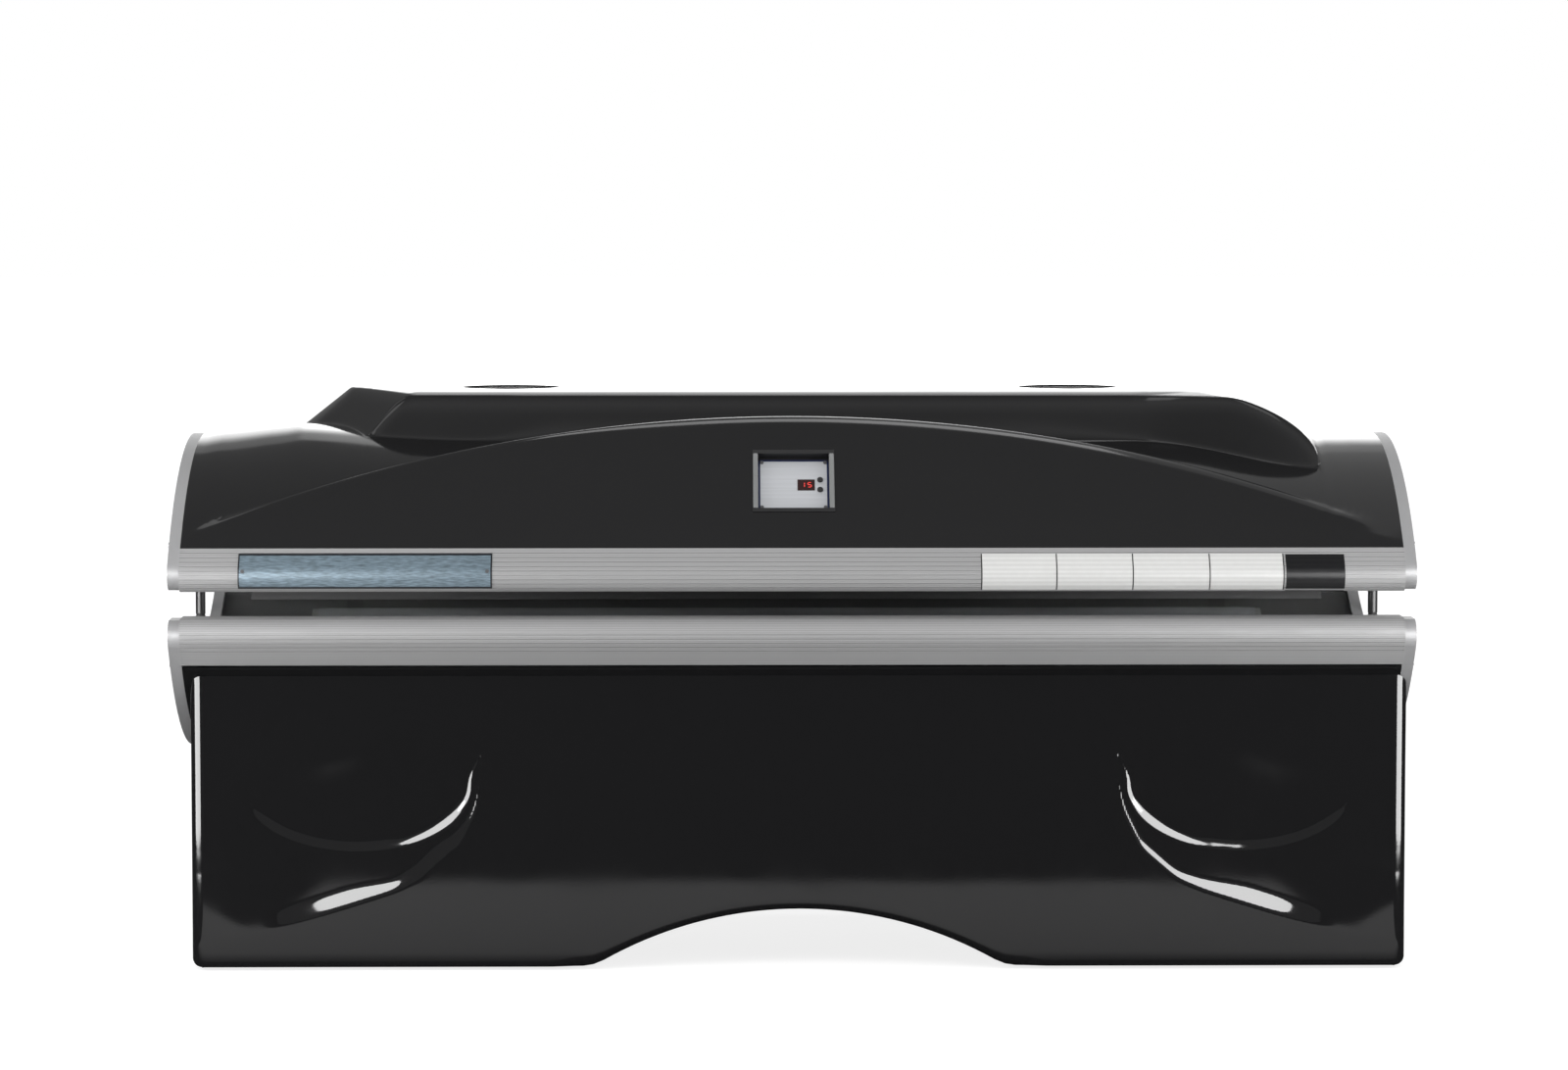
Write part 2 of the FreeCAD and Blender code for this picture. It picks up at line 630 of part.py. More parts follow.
def lamp_frame(clam, angle):
    """Axis point of a lamp, and the unit vector from it towards the reflector."""
    y = clam.lamp_arc * math.sin(angle)
    w = clam.acrylic_centre + clam.lamp_arc * math.cos(angle)
    outward = Vector(0, math.sin(angle), clam.up * math.cos(angle))
    return clam.point(y, w), outward


def make_lamp(clam, angle):
    """Tube with a metal cap and two contact pins at each end."""
    axis_point, outward = lamp_frame(clam, angle)
    half = size.lamp_length / 2
    tube_half = half - size.lamp_cap_length
    lamp = rod_x(size.lamp_radius, -tube_half, tube_half, axis_point.y, axis_point.z)
    lamp = lamp.fuse(rod_x(size.lamp_cap_radius, -half, half, axis_point.y, axis_point.z))
    lamp = lamp.cut(rod_x(size.lamp_radius - size.lamp_glass, -tube_half, tube_half,
                          axis_point.y, axis_point.z))
    pins = []
    for side in (-1, 1):
        pin = axis_point + outward * (side * size.lamp_pin_spacing / 2)
        reach = half + size.lamp_pin_length
        pins.append(rod_x(size.lamp_pin_radius, half - 1, reach, pin.y, pin.z))
        pins.append(rod_x(size.lamp_pin_radius, -reach, 1 - half, pin.y, pin.z))
    return lamp.fuse(pins)


def make_lampholder(clam, angle, side):
    """Block on the reflector, slotted along the line of the lamp's pins."""
    axis_point, outward = lamp_frame(clam, angle)
    seat = clam.reflector_radius - clam.lamp_arc - size.face_gap
    height = seat + size.holder_reach
    block = Part.makeBox(size.holder_thickness, size.holder_width, height,
                         Vector(0, -size.holder_width / 2, -size.holder_reach))
    slot_depth = size.lamp_pin_length + 1
    slot = Part.makeBox(slot_depth, size.holder_slot, height - size.holder_slot_floor,
                        Vector(0, -size.holder_slot / 2, -size.holder_reach - 1))
    block = block.cut(slot)
    if side < 0:
        block = mirrored_x(block)
    tilt = math.degrees(math.atan2(-outward.y, outward.z))
    block.rotate(Vector(0, 0, 0), Vector(1, 0, 0), tilt)
    block.translate(Vector(side * size.lamp_length / 2, axis_point.y, axis_point.z))
    return block


def make_lamps():
    for name, clam in (("bench", bench), ("canopy", canopy)):
        angles = lamp_angles(clam)
        add_piece(name + "_lamps", [make_lamp(clam, angle) for angle in angles])
        holders = []
        for angle in angles:
            holders.append(make_lampholder(clam, angle, -1))
            holders.append(make_lampholder(clam, angle, 1))
        add_piece(name + "_lampholders", holders)


# ---------------------------------------------------------------- canopy shell

crown_z = canopy.z(canopy.apex)
shell_base_z = canopy.z(canopy.rail_height)
hood_top_z = crown_z + size.hood_rise
crease_w = canopy.rail_height + size.crease_rise
crease_point = canopy.point(-canopy.outer_y(crease_w), crease_w)
lens_turn = math.radians(size.lens_slope)
lens_up = Vector(0, math.cos(lens_turn), math.sin(lens_turn))
lens_normal = Vector(0, -math.sin(lens_turn), math.cos(lens_turn))
ridge_y = crease_point.y + size.ridge_rise / math.tan(lens_turn)


def shell_barrel(inset):
    """The arched body of the canopy, from rail to rail."""
    low = shell_base_z - (1 if inset else 0)
    half_length = half_shell + (1 if inset else 0)
    side_y = canopy.outer_y(low - canopy.lip, inset)
    crown = Vector(0, 0, crown_z - inset)
    start = Vector(0, -side_y, low)
    end = Vector(0, side_y, low)
    return along_x(face_of([arc(start, crown, end), line(end, start)]), -half_length, half_length)


def shell_lens(inset):
    """Flat lens-shaped front, bounded above by the arched ridge."""
    foot = crease_point - lens_normal * inset
    back_y = -size.hood_front + size.hood_front_rake + 2 * size.shell_wall
    if inset:
        back_y = back_y + size.shell_wall
    run = back_y - foot.y
    top = foot + lens_up * (run / lens_up.y)
    floor_z = foot.z - (1 if inset else 0)
    wedge_face = polygon_face([foot, top, Vector(0, back_y, floor_z)])
    wedge = along_x(wedge_face, -half_shell, half_shell)
    sagitta = size.ridge_rise * (1 + size.ridge_back_slope / math.tan(lens_turn))
    span = size.ridge_half_span
    radius = (span ** 2 + sagitta ** 2) / (2 * sagitta) - inset
    plane_y = -size.bed_depth / 2
    lift = size.ridge_back_slope * (ridge_y - plane_y)
    apex_z = crease_point.z + size.ridge_rise + lift - inset
    side_z = apex_z - radius + math.sqrt(radius ** 2 - half_shell ** 2)
    low_z = shell_base_z - lift - inset
    left = Vector(-half_shell, plane_y, side_z)
    right = Vector(half_shell, plane_y, side_z)
    arch = face_of([
        arc(left, Vector(0, plane_y, apex_z), right),
        line(right, Vector(half_shell, plane_y, low_z)),
        line(Vector(half_shell, plane_y, low_z), Vector(-half_shell, plane_y, low_z)),
        line(Vector(-half_shell, plane_y, low_z), left),
    ])
    depth = size.bed_depth
    return wedge.common(arch.extrude(Vector(0, depth, -depth * size.ridge_back_slope)))


def hood_end_cutter(edge_x, sweep, foot_z, inset):
    """Cuts the hood's left end to a slant; the cut sweeps sideways on its way back."""
    slant = size.hood_left_run / size.hood_rise
    inward = inset * math.sqrt(1 + slant ** 2 + sweep ** 2)
    start_y = -size.bed_depth / 2
    start_x = edge_x + inward - sweep * (start_y + size.hood_front)
    margin = 2 * size.shell_wall
    below = hood_top_z - foot_z + margin
    outline = polygon_face([
        Vector(start_x + slant * margin, start_y, hood_top_z + margin),
        Vector(start_x - slant * below, start_y, hood_top_z - below),
        Vector(-2 * half_shell, start_y, hood_top_z - below),
        Vector(-2 * half_shell, start_y, hood_top_z + margin),
    ])
    depth = size.bed_depth
    return outline.extrude(Vector(-sweep * depth, depth, 0))


def shell_hood(inset):
    """Raised hood: raked front, slanted left end, curved ramp on the right."""
    foot_z = canopy.z(canopy.outer_w(size.hood_rear + size.hood_rear_run)) - size.hood_root
    top_z = hood_top_z - inset
    front_y = -size.hood_front + inset
    foot_y = front_y - size.hood_front_rake
    edge = size.hood_edge_radius - inset
    rear_y = size.hood_rear - inset
    run = size.hood_rear_run * (top_z - foot_z) / size.hood_depth
    bend = edge * (1 - math.sqrt(0.5))
    side_face = face_of([
        line(Vector(0, foot_y, foot_z), Vector(0, front_y, top_z - edge)),
        arc(Vector(0, front_y, top_z - edge), Vector(0, front_y + bend, top_z - bend),
            Vector(0, front_y + edge, top_z)),
        line(Vector(0, front_y + edge, top_z), Vector(0, rear_y, top_z)),
        line(Vector(0, rear_y, top_z), Vector(0, rear_y + run, foot_z)),
        line(Vector(0, rear_y + run, foot_z), Vector(0, foot_y, foot_z)),
    ])
    block = along_x(side_face, -half_shell, half_shell)
    start_y = -size.bed_depth / 2
    ramp_start = size.hood_right
    ramp_end = ramp_start + size.hood_right_run - inset
    ramp_low = hood_top_z - size.hood_right_drop
    bulge_x = size.hood_right_run * size.hood_ramp_lean
    ramp_middle = Vector((ramp_start + ramp_end) / 2 + bulge_x, start_y,
                         top_z - (top_z - ramp_low) * size.hood_ramp_fall)
    far_left = -half_shell + size.cap_thickness
    front_face = face_of([
        line(Vector(far_left, start_y, foot_z), Vector(far_left, start_y, top_z)),
        line(Vector(far_left, start_y, top_z), Vector(ramp_start, start_y, top_z)),
        arc(Vector(ramp_start, start_y, top_z), ramp_middle, Vector(ramp_end, start_y, ramp_low)),
        line(Vector(ramp_end, start_y, ramp_low), Vector(ramp_end, start_y, foot_z)),
        line(Vector(ramp_end, start_y, foot_z), Vector(far_left, start_y, foot_z)),
    ])
    hood = block.common(front_face.extrude(Vector(0, size.bed_depth, 0)))
    corner = hood_end_cutter(-size.hood_left, size.hood_left_sweep, foot_z, inset)
    end = hood_end_cutter(-size.hood_left_end, 0, foot_z, inset)
    return hood.cut([corner, end])


def canopy_form(inset):
    return shell_barrel(inset).fuse([shell_lens(inset), shell_hood(inset)])


def lens_placement():
    """Frame on the lens face: x right, y up the face, z out of it, at the panel's middle."""
    middle = crease_point + lens_up * size.panel_rise + Vector(size.panel_offset, 0, 0)
    return FreeCAD.Placement(middle, FreeCAD.Rotation(Vector(1, 0, 0), size.lens_slope))


def make_canopy_shell():
    shell = canopy_form(0).cut(canopy_form(size.shell_wall))
    for side in (-1, 1):
        outlet = Part.makeCylinder(size.fan_outlet_radius, 4 * size.shell_wall,
                                   Vector(side * size.fan_spacing / 2, size.fan_offset,
                                          hood_top_z - 2 * size.shell_wall))
        shell = shell.cut(outlet)
    tub_width = size.bezel_width - 2 * size.bezel_flange + 2 * size.face_gap
    tub_height = size.bezel_height - 2 * size.bezel_flange + 2 * size.face_gap
    opening = centred_box(tub_width, tub_height, 8 * size.shell_wall, z=-6 * size.shell_wall)
    opening.Placement = lens_placement()
    add_piece("canopy_shell", shell.cut(opening).removeSplitter())


def make_belly_pan():
    """Bent sheet that closes the bench from below, from rail to rail."""
    inner = bench.radius - size.belly_wall
    edge_y = bench.outer_y(bench.rail_height, size.belly_wall)
    add_piece("bench_belly_pan", arc_sheet(bench, inner, bench.centre, size.belly_wall,
                                           edge_y - size.rail_wall, half_shell))


# ---------------------------------------------------------------- canopy inside

def make_ribs():
    """Arched plates standing on both canopy rails, under the shell."""
    under = canopy.reflector_radius + size.reflector_wall + size.face_gap
    over = canopy.radius - size.canopy_rib_clearance
    foot_y = inner_y + size.canopy_rib_clearance / 2
    foot_w = canopy.rail_height
    top_w = canopy.centre + math.sqrt(over ** 2 - foot_y ** 2)
    inner_foot = math.sqrt(under ** 2 - (foot_w - canopy.acrylic_centre) ** 2)
    section = face_of([
        canopy.arc_between(-foot_y, foot_y, over, canopy.centre),
        line(canopy.point(foot_y, top_w), canopy.point(foot_y, foot_w)),
        line(canopy.point(foot_y, foot_w), canopy.point(inner_foot, foot_w)),
        canopy.arc_between(inner_foot, -inner_foot, under, canopy.acrylic_centre),
        line(canopy.point(-inner_foot, foot_w), canopy.point(-foot_y, foot_w)),
        line(canopy.point(-foot_y, foot_w), canopy.point(-foot_y, top_w)),
    ])
    count = int(size.canopy_rib_count)
    pitch = 2 * size.canopy_rib_reach / (count - 1)
    ribs = []
    for i in range(count):
        x = -size.canopy_rib_reach + i * pitch
        ribs.append(along_x(section, x - size.canopy_rib_wall / 2, x + size.canopy_rib_wall / 2))
    tray_z = tray_floor_z()
    notch = centred_box(size.tray_length, size.tray_width + 2 * size.face_gap, 200, z=tray_z)
    add_piece("canopy_ribs", [rib.cut(notch) for rib in ribs])


def tray_floor_z():
    """Underside of the canopy's ballast tray, just above the reflector's crown."""
    crown = canopy.acrylic_centre + canopy.reflector_radius + size.reflector_wall
    return canopy.z(crown) + size.tray_clearance


def ballast_block(x, y, z):
    """Ballast can with mounting feet at its ends."""
    foot = size.ballast_foot
    can = centred_box(size.ballast_length - 2 * foot, size.ballast_width, size.ballast_height,
                      x, y, z)
    feet = centred_box(size.ballast_length, size.ballast_width - foot, size.tray_wall, x, y, z)
    return can.fuse(feet)


def ballast_grid(z, y_middle=0):
    per_row = int(size.lamp_count) // 4
    blocks = []
    for row in (-1, 1):
        for i in range(per_row):
            x = (i - (per_row - 1) / 2) * size.ballast_pitch
            blocks.append(ballast_block(x, y_middle + row * size.ballast_row_gap / 2, z))
    return blocks


def make_ballasts():
    canopy_z = tray_floor_z()
    add_piece("canopy_ballast_tray", centred_box(size.tray_length, size.tray_width,
                                                 size.tray_wall, z=canopy_z))
    add_piece("canopy_ballasts", ballast_grid(canopy_z + size.tray_wall, size.ballast_shift))
    belly_inner = bench.radius - size.belly_wall - size.face_gap
    half = size.ballast_row_gap / 2 + size.ballast_width / 2 + size.tray_margin
    floor_w = bench.centre + math.sqrt(belly_inner ** 2 - half ** 2)
    lip = size.tray_web / 2
    tray = [
        bench.point(-half, floor_w),
        bench.point(-half, floor_w - size.tray_wall),
        bench.point(half, floor_w - size.tray_wall),
        bench.point(half, floor_w),
    ]
    plate = along_x(polygon_face(tray), -size.tray_length / 2, size.tray_length / 2)
    web_face = face_of([
        line(bench.point(lip, floor_w), bench.point(-lip, floor_w)),
        line(bench.point(-lip, floor_w),
             bench.point(-lip, bench.centre + math.sqrt(belly_inner ** 2 - lip ** 2))),
        bench.arc_between(-lip, lip, belly_inner, bench.centre),
        line(bench.point(lip, bench.centre + math.sqrt(belly_inner ** 2 - lip ** 2)),
             bench.point(lip, floor_w)),
    ])
    web = along_x(web_face, -size.tray_length / 2, size.tray_length / 2)
    add_piece("bench_ballast_tray", plate.fuse(web))
    ballast_z = bench.z(floor_w - size.tray_wall)
    add_piece("bench_ballasts", ballast_grid(ballast_z))


# ---------------------------------------------------------------- fans

def fan_centre(side):
    return Vector(side * size.fan_spacing / 2, size.fan_offset, hood_top_z - size.shell_wall)


def make_fan_guard(side):
    """Flat ring with straight bars, under the outlet hole."""
    thickness = size.guard_thickness
    ring = Part.makeCylinder(size.guard_radius, thickness)
    opening = Part.makeCylinder(size.fan_outlet_radius - size.guard_bar, thickness)
    bars = []
    count = int(size.guard_bar_count)
    pitch = 2 * size.fan_outlet_radius / (count + 1)
    for i in range(count):
        y = (i - (count - 1) / 2) * pitch
        bars.append(centred_box(2 * size.fan_outlet_radius, size.guard_bar, thickness, y=y))
    guard = ring.cut(opening).fuse([bar.common(ring) for bar in bars]).removeSplitter()
    guard.translate(fan_centre(side) - Vector(0, 0, thickness))
    return guard


def make_fan_housing(side):
    """Square flange, barrel, struts and motor of an axial fan."""
    depth = size.fan_depth
    flange_z = -size.fan_flange_thickness
    inner = size.fan_barrel_radius - size.fan_barrel_wall
    flange = centred_box(size.fan_flange, size.fan_flange, size.fan_flange_thickness, z=flange_z)
    barrel = Part.makeCylinder(size.fan_barrel_radius, depth, Vector(0, 0, -depth))
    housing = flange.fuse(barrel)
    housing = housing.cut(Part.makeCylinder(inner, depth + 2, Vector(0, 0, -depth - 1)))
    struts = []
    for turn in (0, 90):
        strut = centred_box(2 * inner + size.fan_barrel_wall, size.fan_strut, size.fan_strut,
                            z=-depth)
        strut.rotate(Vector(0, 0, 0), Vector(0, 0, 1), turn + 45)
        struts.append(strut)
    motor = Part.makeCylinder(size.fan_motor_radius, size.fan_motor_height, Vector(0, 0, -depth))
    housing = housing.fuse(struts + [motor])
    bore = Part.makeCylinder(size.fan_shaft_radius + size.fan_running_fit,
                             size.fan_motor_height, Vector(0, 0, size.fan_bore_floor - depth))
    housing = housing.cut(bore).removeSplitter()
    housing.translate(fan_centre(side) - Vector(0, 0, size.guard_thickness))
    return housing


def add_fan_rotor(side, label):
    """Hub with its shaft, and pitched blades set round it."""
    hub_z = size.fan_motor_height + size.rotor_hub_gap - size.fan_depth
    base = fan_centre(side) - Vector(0, 0, size.guard_thickness)
    tip = size.fan_barrel_radius - size.fan_barrel_wall - size.rotor_tip_gap
    hub = Part.makeCylinder(size.rotor_hub_radius, size.rotor_hub_height, Vector(0, 0, hub_z))
    shaft_length = (size.fan_motor_height + size.rotor_hub_gap - size.fan_bore_floor
                    - size.rotor_end_play)
    shaft = Part.makeCylinder(size.fan_shaft_radius, shaft_length + 1,
                              Vector(0, 0, hub_z - shaft_length))
    root = size.rotor_hub_radius - size.rotor_blade_thickness
    blades = []
    count = int(size.rotor_blade_count)
    for i in range(count):
        blade = centred_box(size.rotor_blade_width, size.rotor_blade_thickness, tip - root)
        blade.rotate(Vector(0, 0, 0), Vector(0, 0, 1), size.rotor_blade_pitch)
        blade.rotate(Vector(0, 0, 0), Vector(0, 1, 0), 90)
        blade.rotate(Vector(0, 0, 0), Vector(1, 0, 0), 90)
        blade.translate(Vector(root, 0, hub_z + size.rotor_hub_height / 2))
        blade.rotate(Vector(0, 0, 0), Vector(0, 0, 1), 360 * i / count)
        blades.append(blade)
    rotor = hub.fuse([shaft] + blades).removeSplitter()
    rotor.translate(base)
    add_piece(label, rotor)


def make_fans():
    for side, word in ((-1, "left"), (1, "right")):
        add_piece("fan_guard_" + word, make_fan_guard(side))
        add_piece("fan_housing_" + word, make_fan_housing(side))
        add_fan_rotor(side, "fan_rotor_" + word)


# ---------------------------------------------------------------- control panel

def make_bezel():
    """Flange on the shell's face and a tub with a land for the control plate."""
    body = add_body("control_bezel", lens_placement())
    flange = new_sketch(body, "bezel_flange")
    draw_rectangle(flange, "sizes.bezel_width", "sizes.bezel_height")
    pad(body, flange, "sizes.bezel_wall / 2")
    tub = new_sketch(body, "bezel_tub")
    draw_rectangle(tub, "sizes.bezel_width - 2 * sizes.bezel_flange",
                   "sizes.bezel_height - 2 * sizes.bezel_flange")
    pad(body, tub, "sizes.bezel_depth", reverse=True)
    hollow = new_sketch(body, "bezel_hollow", height="sizes.bezel_wall")
    draw_rectangle(hollow, "sizes.bezel_width - 2 * sizes.bezel_flange - 2 * sizes.bezel_wall",
                   "sizes.bezel_height - 2 * sizes.bezel_flange - 2 * sizes.bezel_wall")
    pocket(body, hollow, "sizes.bezel_depth")
    land = new_sketch(body, "bezel_land_opening")
    draw_rectangle(land, "sizes.plate_width - 2 * sizes.bezel_land",
                   "sizes.plate_height - 2 * sizes.bezel_land")
    pocket(body, land, "sizes.bezel_depth + sizes.bezel_wall")


def plate_top():
    """Height of the control plate's face in the lens frame."""
    return -(size.bezel_depth - size.bezel_wall) + size.plate_thickness


def lens_shape(shape):
    shape.Placement = lens_placement().multiply(shape.Placement)
    return shape


def screw_positions():
    return [(x, y) for x in (-size.screw_inset_x, size.screw_inset_x)
            for y in (-size.screw_inset_y, size.screw_inset_y)]


def make_control_plate():
    """Rounded plate with holes for the display window, both buttons and its screws."""
    body = add_body("control_plate", lens_placement())
    back = "sizes.bezel_wall - sizes.bezel_depth"
    sketch = new_sketch(body, "plate_outline", height=back)
    draw_rectangle(sketch, "sizes.plate_width", "sizes.plate_height")
    blank = pad(body, sketch, "sizes.plate_thickness")
    doc.recompute()
    upright = []
    for index, edge in enumerate(blank.Shape.Edges, start=1):
        ends = [vertex.Point for vertex in edge.Vertexes]
        if abs(ends[0].z - ends[1].z) > size.plate_thickness / 2:
            upright.append("Edge%d" % index)
    corners = body.newObject("PartDesign::Fillet", "plate_corners")
    corners.Base = (blank, upright)
    corners.setExpression("Radius", "sizes.plate_corner")
    holes = new_sketch(body, "plate_holes", height=back + " + sizes.plate_thickness")
    draw_rectangle(holes, "sizes.window_width + 2 * sizes.face_gap",
                   "sizes.window_height + 2 * sizes.face_gap", across="sizes.window_x")
    for half in ("sizes.button_spacing / 2", "-sizes.button_spacing / 2"):
        draw_circle(holes, "sizes.button_radius + sizes.face_gap", "sizes.button_x", half)
    pocket(body, holes, "2 * sizes.plate_thickness")


def make_panel_screws():
    """Pan heads on the control plate and at the ends of the nameplate."""
    screws = []
    for x, y in screw_positions():
        head = Part.makeCylinder(size.screw_head_radius, size.screw_head_height,
                                 Vector(x, y, plate_top()))
        screws.append(lens_shape(head))
    first_x = size.nameplate_screw_inset - size.nameplate_start
    last_x = size.nameplate_length - size.nameplate_screw_inset - size.nameplate_start
    for x in (first_x, last_x):
        middle_w = (size.nameplate_low + size.nameplate_high) / 2
        y, w, outward = nose_surface(middle_w)
        base = canopy.point(-y, w, x) + outward * (size.face_gap + size.nameplate_thickness)
        screws.append(Part.makeCylinder(size.screw_head_radius, size.screw_head_height,
                                        base, outward))
    add_piece("panel_screws", screws)


def make_display():
    """Window in the plate, over the display block of the timer board."""
    body = add_body("display_window", lens_placement())
    sketch = new_sketch(body, "window_outline", height="sizes.bezel_wall - sizes.bezel_depth")
    draw_rectangle(sketch, "sizes.window_width", "sizes.window_height", across="sizes.window_x")
    pad(body, sketch, "sizes.window_thickness")


def make_timer_board():
    """Circuit board on four standoffs, with the display block and two switches."""
    back = plate_top() - size.plate_thickness
    board_top = back - size.board_depth
    parts = [centred_box(size.board_width, size.board_height, size.board_thickness,
                         z=board_top - size.board_thickness)]
    for x in (-1, 1):
        for y in (-1, 1):
            spot = Vector(x * (size.board_width / 2 - size.standoff_inset),
                          y * (size.board_height / 2 - size.standoff_inset), board_top)
            parts.append(Part.makeCylinder(size.standoff_radius, size.board_depth, spot))
    parts.append(centred_box(size.window_width, size.window_height, size.board_depth,
                             x=size.window_x, z=board_top))
    switch_gap = 2 * size.button_flange + size.button_travel
    for y in (-size.button_spacing / 2, size.button_spacing / 2):
        parts.append(centred_box(size.switch_side, size.switch_side,
                                 size.board_depth - switch_gap, x=size.button_x, y=y,
                                 z=board_top))
    board = parts[0].fuse(parts[1:]).removeSplitter()
    add_piece("timer_board", lens_shape(board))


def make_buttons():
    """Round push buttons, each held by a flange behind the plate."""
    for word, side in (("upper", 1), ("lower", -1)):
        body = add_body("button_" + word, lens_placement())
        y = "%d * sizes.button_spacing / 2" % side
        flange_top = "sizes.bezel_wall - sizes.bezel_depth - sizes.face_gap"
        stem = new_sketch(body, "button_%s_stem" % word, height=flange_top)
        draw_circle(stem, "sizes.button_radius", "sizes.button_x", y)
        pad(body, stem, "sizes.face_gap + sizes.plate_thickness + sizes.button_height")
        flange = new_sketch(body, "button_%s_flange" % word, height=flange_top)
        draw_circle(flange, "sizes.button_flange_radius", "sizes.button_x", y)
        pad(body, flange, "sizes.button_flange", reverse=True)


def nose_surface(w):
    """Rail face of the canopy at w: its y, w and outward unit vector."""
    (nose_y, nose_w), (y_join, w_join) = canopy.nose()
    if w >= w_join:
        centre_y, centre_w, radius = 0, canopy.centre, canopy.radius
    else:
        centre_y, centre_w, radius = nose_y, nose_w, size.nose_radius
    turn = math.asin((w - centre_w) / radius)
    y = centre_y + radius * math.cos(turn)
    return y, w, Vector(0, -math.cos(turn), math.sin(turn))


def make_nameplate():
    """Blank plate bent over the face of the canopy's front rail."""
    inner = []
    outer = []
    (nose_y, nose_w), (y_join, w_join) = canopy.nose()
    low, high = size.nameplate_low, size.nameplate_high
    for w in (low, (low + w_join) / 2, w_join, (w_join + high) / 2, high):
        y, w, outward = nose_surface(w)
        seat = canopy.point(-y, w) + outward * size.face_gap
        inner.append(seat)
        outer.append(seat + outward * size.nameplate_thickness)
    section = face_of([
        arc(inner[0], inner[1], inner[2]),
        arc(inner[2], inner[3], inner[4]),
        line(inner[4], outer[4]),
        arc(outer[4], outer[3], outer[2]),
        arc(outer[2], outer[1], outer[0]),
        line(outer[0], inner[0]),
    ])
    start = -size.nameplate_start
    add_piece("nameplate", along_x(section, start, start + size.nameplate_length))


# ---------------------------------------------------------------- base

belly_fit = bench.radius + size.face_gap
belly_axis_z = bench.z(bench.centre)
panel_top_z = size.bench_height - size.panel_reveal
base_front = size.bed_depth / 2 - size.base_front_inset
base_rear = size.bed_depth / 2 - size.base_rear_inset
post_y = size.bed_depth / 2 - size.post_inset
post_x = size.base_half_width - size.base_wall - size.face_gap - size.post_side / 2


def belly_cutter(radius):
    return rod_x(radius, -2 * half_shell, 2 * half_shell, 0, belly_axis_z)


def arch_cutter(growth):
    """Lying cylinder whose crown is the toe arch."""
    rise = size.arch_height
    radius = (size.arch_half_width ** 2 + rise ** 2) / (2 * rise)
    return Part.makeCylinder(radius + growth, size.bed_depth,
                             Vector(0, -size.bed_depth, rise - radius), Vector(0, 1, 0))


def hollow_cutter(x, z, half_width, half_height, depth, growth):
    """Ellipsoid that hollows the panel; its centre stands in front of the panel's face."""
    spread = math.sqrt(1 - size.hollow_standoff ** 2)
    reach = depth / (1 - size.hollow_standoff)
    matrix = FreeCAD.Matrix()
    matrix.A11 = half_width / spread + growth
    matrix.A22 = reach + growth
    matrix.A33 = half_height / spread + growth
    matrix.A14 = x
    matrix.A24 = -base_front - reach * size.hollow_standoff
    matrix.A34 = z
    return Part.makeSphere(1).transformGeometry(matrix)


def scoop_cutters(growth):
    """A wide shallow ledge and a deeper dish in it, on each side of the arch."""
    cutters = []
    for side in (-1, 1):
        cutters.append(hollow_cutter(side * size.ledge_x, size.ledge_z,
                                     size.ledge_half_width, size.ledge_half_height,
                                     size.ledge_depth, growth))
        cutters.append(hollow_cutter(side * size.dish_x, size.dish_z,
                                     size.dish_half_width, size.dish_half_height,
                                     size.dish_depth, growth))
    return cutters


def panel_block(inset):
    """Block of the front panel with rounded upright front corners."""
    half = size.base_half_width - inset
    front = -base_front + inset
    back = -base_front + size.base_return + (1 if inset else 0)
    low = size.base_clearance + inset
    corner = size.base_corner - inset
    bend = corner * (1 - math.sqrt(0.5))
    outline = face_of([
        line(Vector(-half, back, low), Vector(-half, front + corner, low)),
        arc(Vector(-half, front + corner, low), Vector(-half + bend, front + bend, low),
            Vector(-half + corner, front, low)),
        line(Vector(-half + corner, front, low), Vector(half - corner, front, low)),
        arc(Vector(half - corner, front, low), Vector(half - bend, front + bend, low),
            Vector(half, front + corner, low)),
        line(Vector(half, front + corner, low), Vector(half, back, low)),
        line(Vector(half, back, low), Vector(-half, back, low)),
    ])
    return outline.extrude(Vector(0, 0, panel_top_z - low))


def panel_form(inset):
    """The front panel's block less the belly, the toe arch and both scoops."""
    cutters = [belly_cutter(belly_fit + inset), arch_cutter(inset)]
    return panel_block(inset).cut(cutters + scoop_cutters(inset))


def add_base_piece(label, solids):
    """Adds a piece that is drawn about the base's own middle."""
    add_piece(label, [solid.translated(Vector(size.base_offset, 0, 0)) for solid in solids])


def make_base_panels():
    add_base_piece("base_front_panel", [panel_form(0).cut(panel_form(size.base_wall))])
    start_y = -base_front + size.base_return + size.face_gap
    plate = Part.makeBox(size.base_wall, base_rear - start_y,
                         panel_top_z - size.base_clearance,
                         Vector(size.base_half_width - size.base_wall, start_y,
                                size.base_clearance))
    plate = plate.cut(belly_cutter(belly_fit))
    add_base_piece("base_side_panel_right", [plate])
    add_base_piece("base_side_panel_left", [mirrored_x(plate)])


def square_tube(length, x, y, z):
    outer = centred_box(size.post_side, size.post_side, length, x, y, z)
    inner_side = size.post_side - 2 * size.tube_wall
    return outer.cut(centred_box(inner_side, inner_side, length, x, y, z))


def post_places():
    return [(x, y) for x in (-post_x, post_x) for y in (-post_y, post_y)]


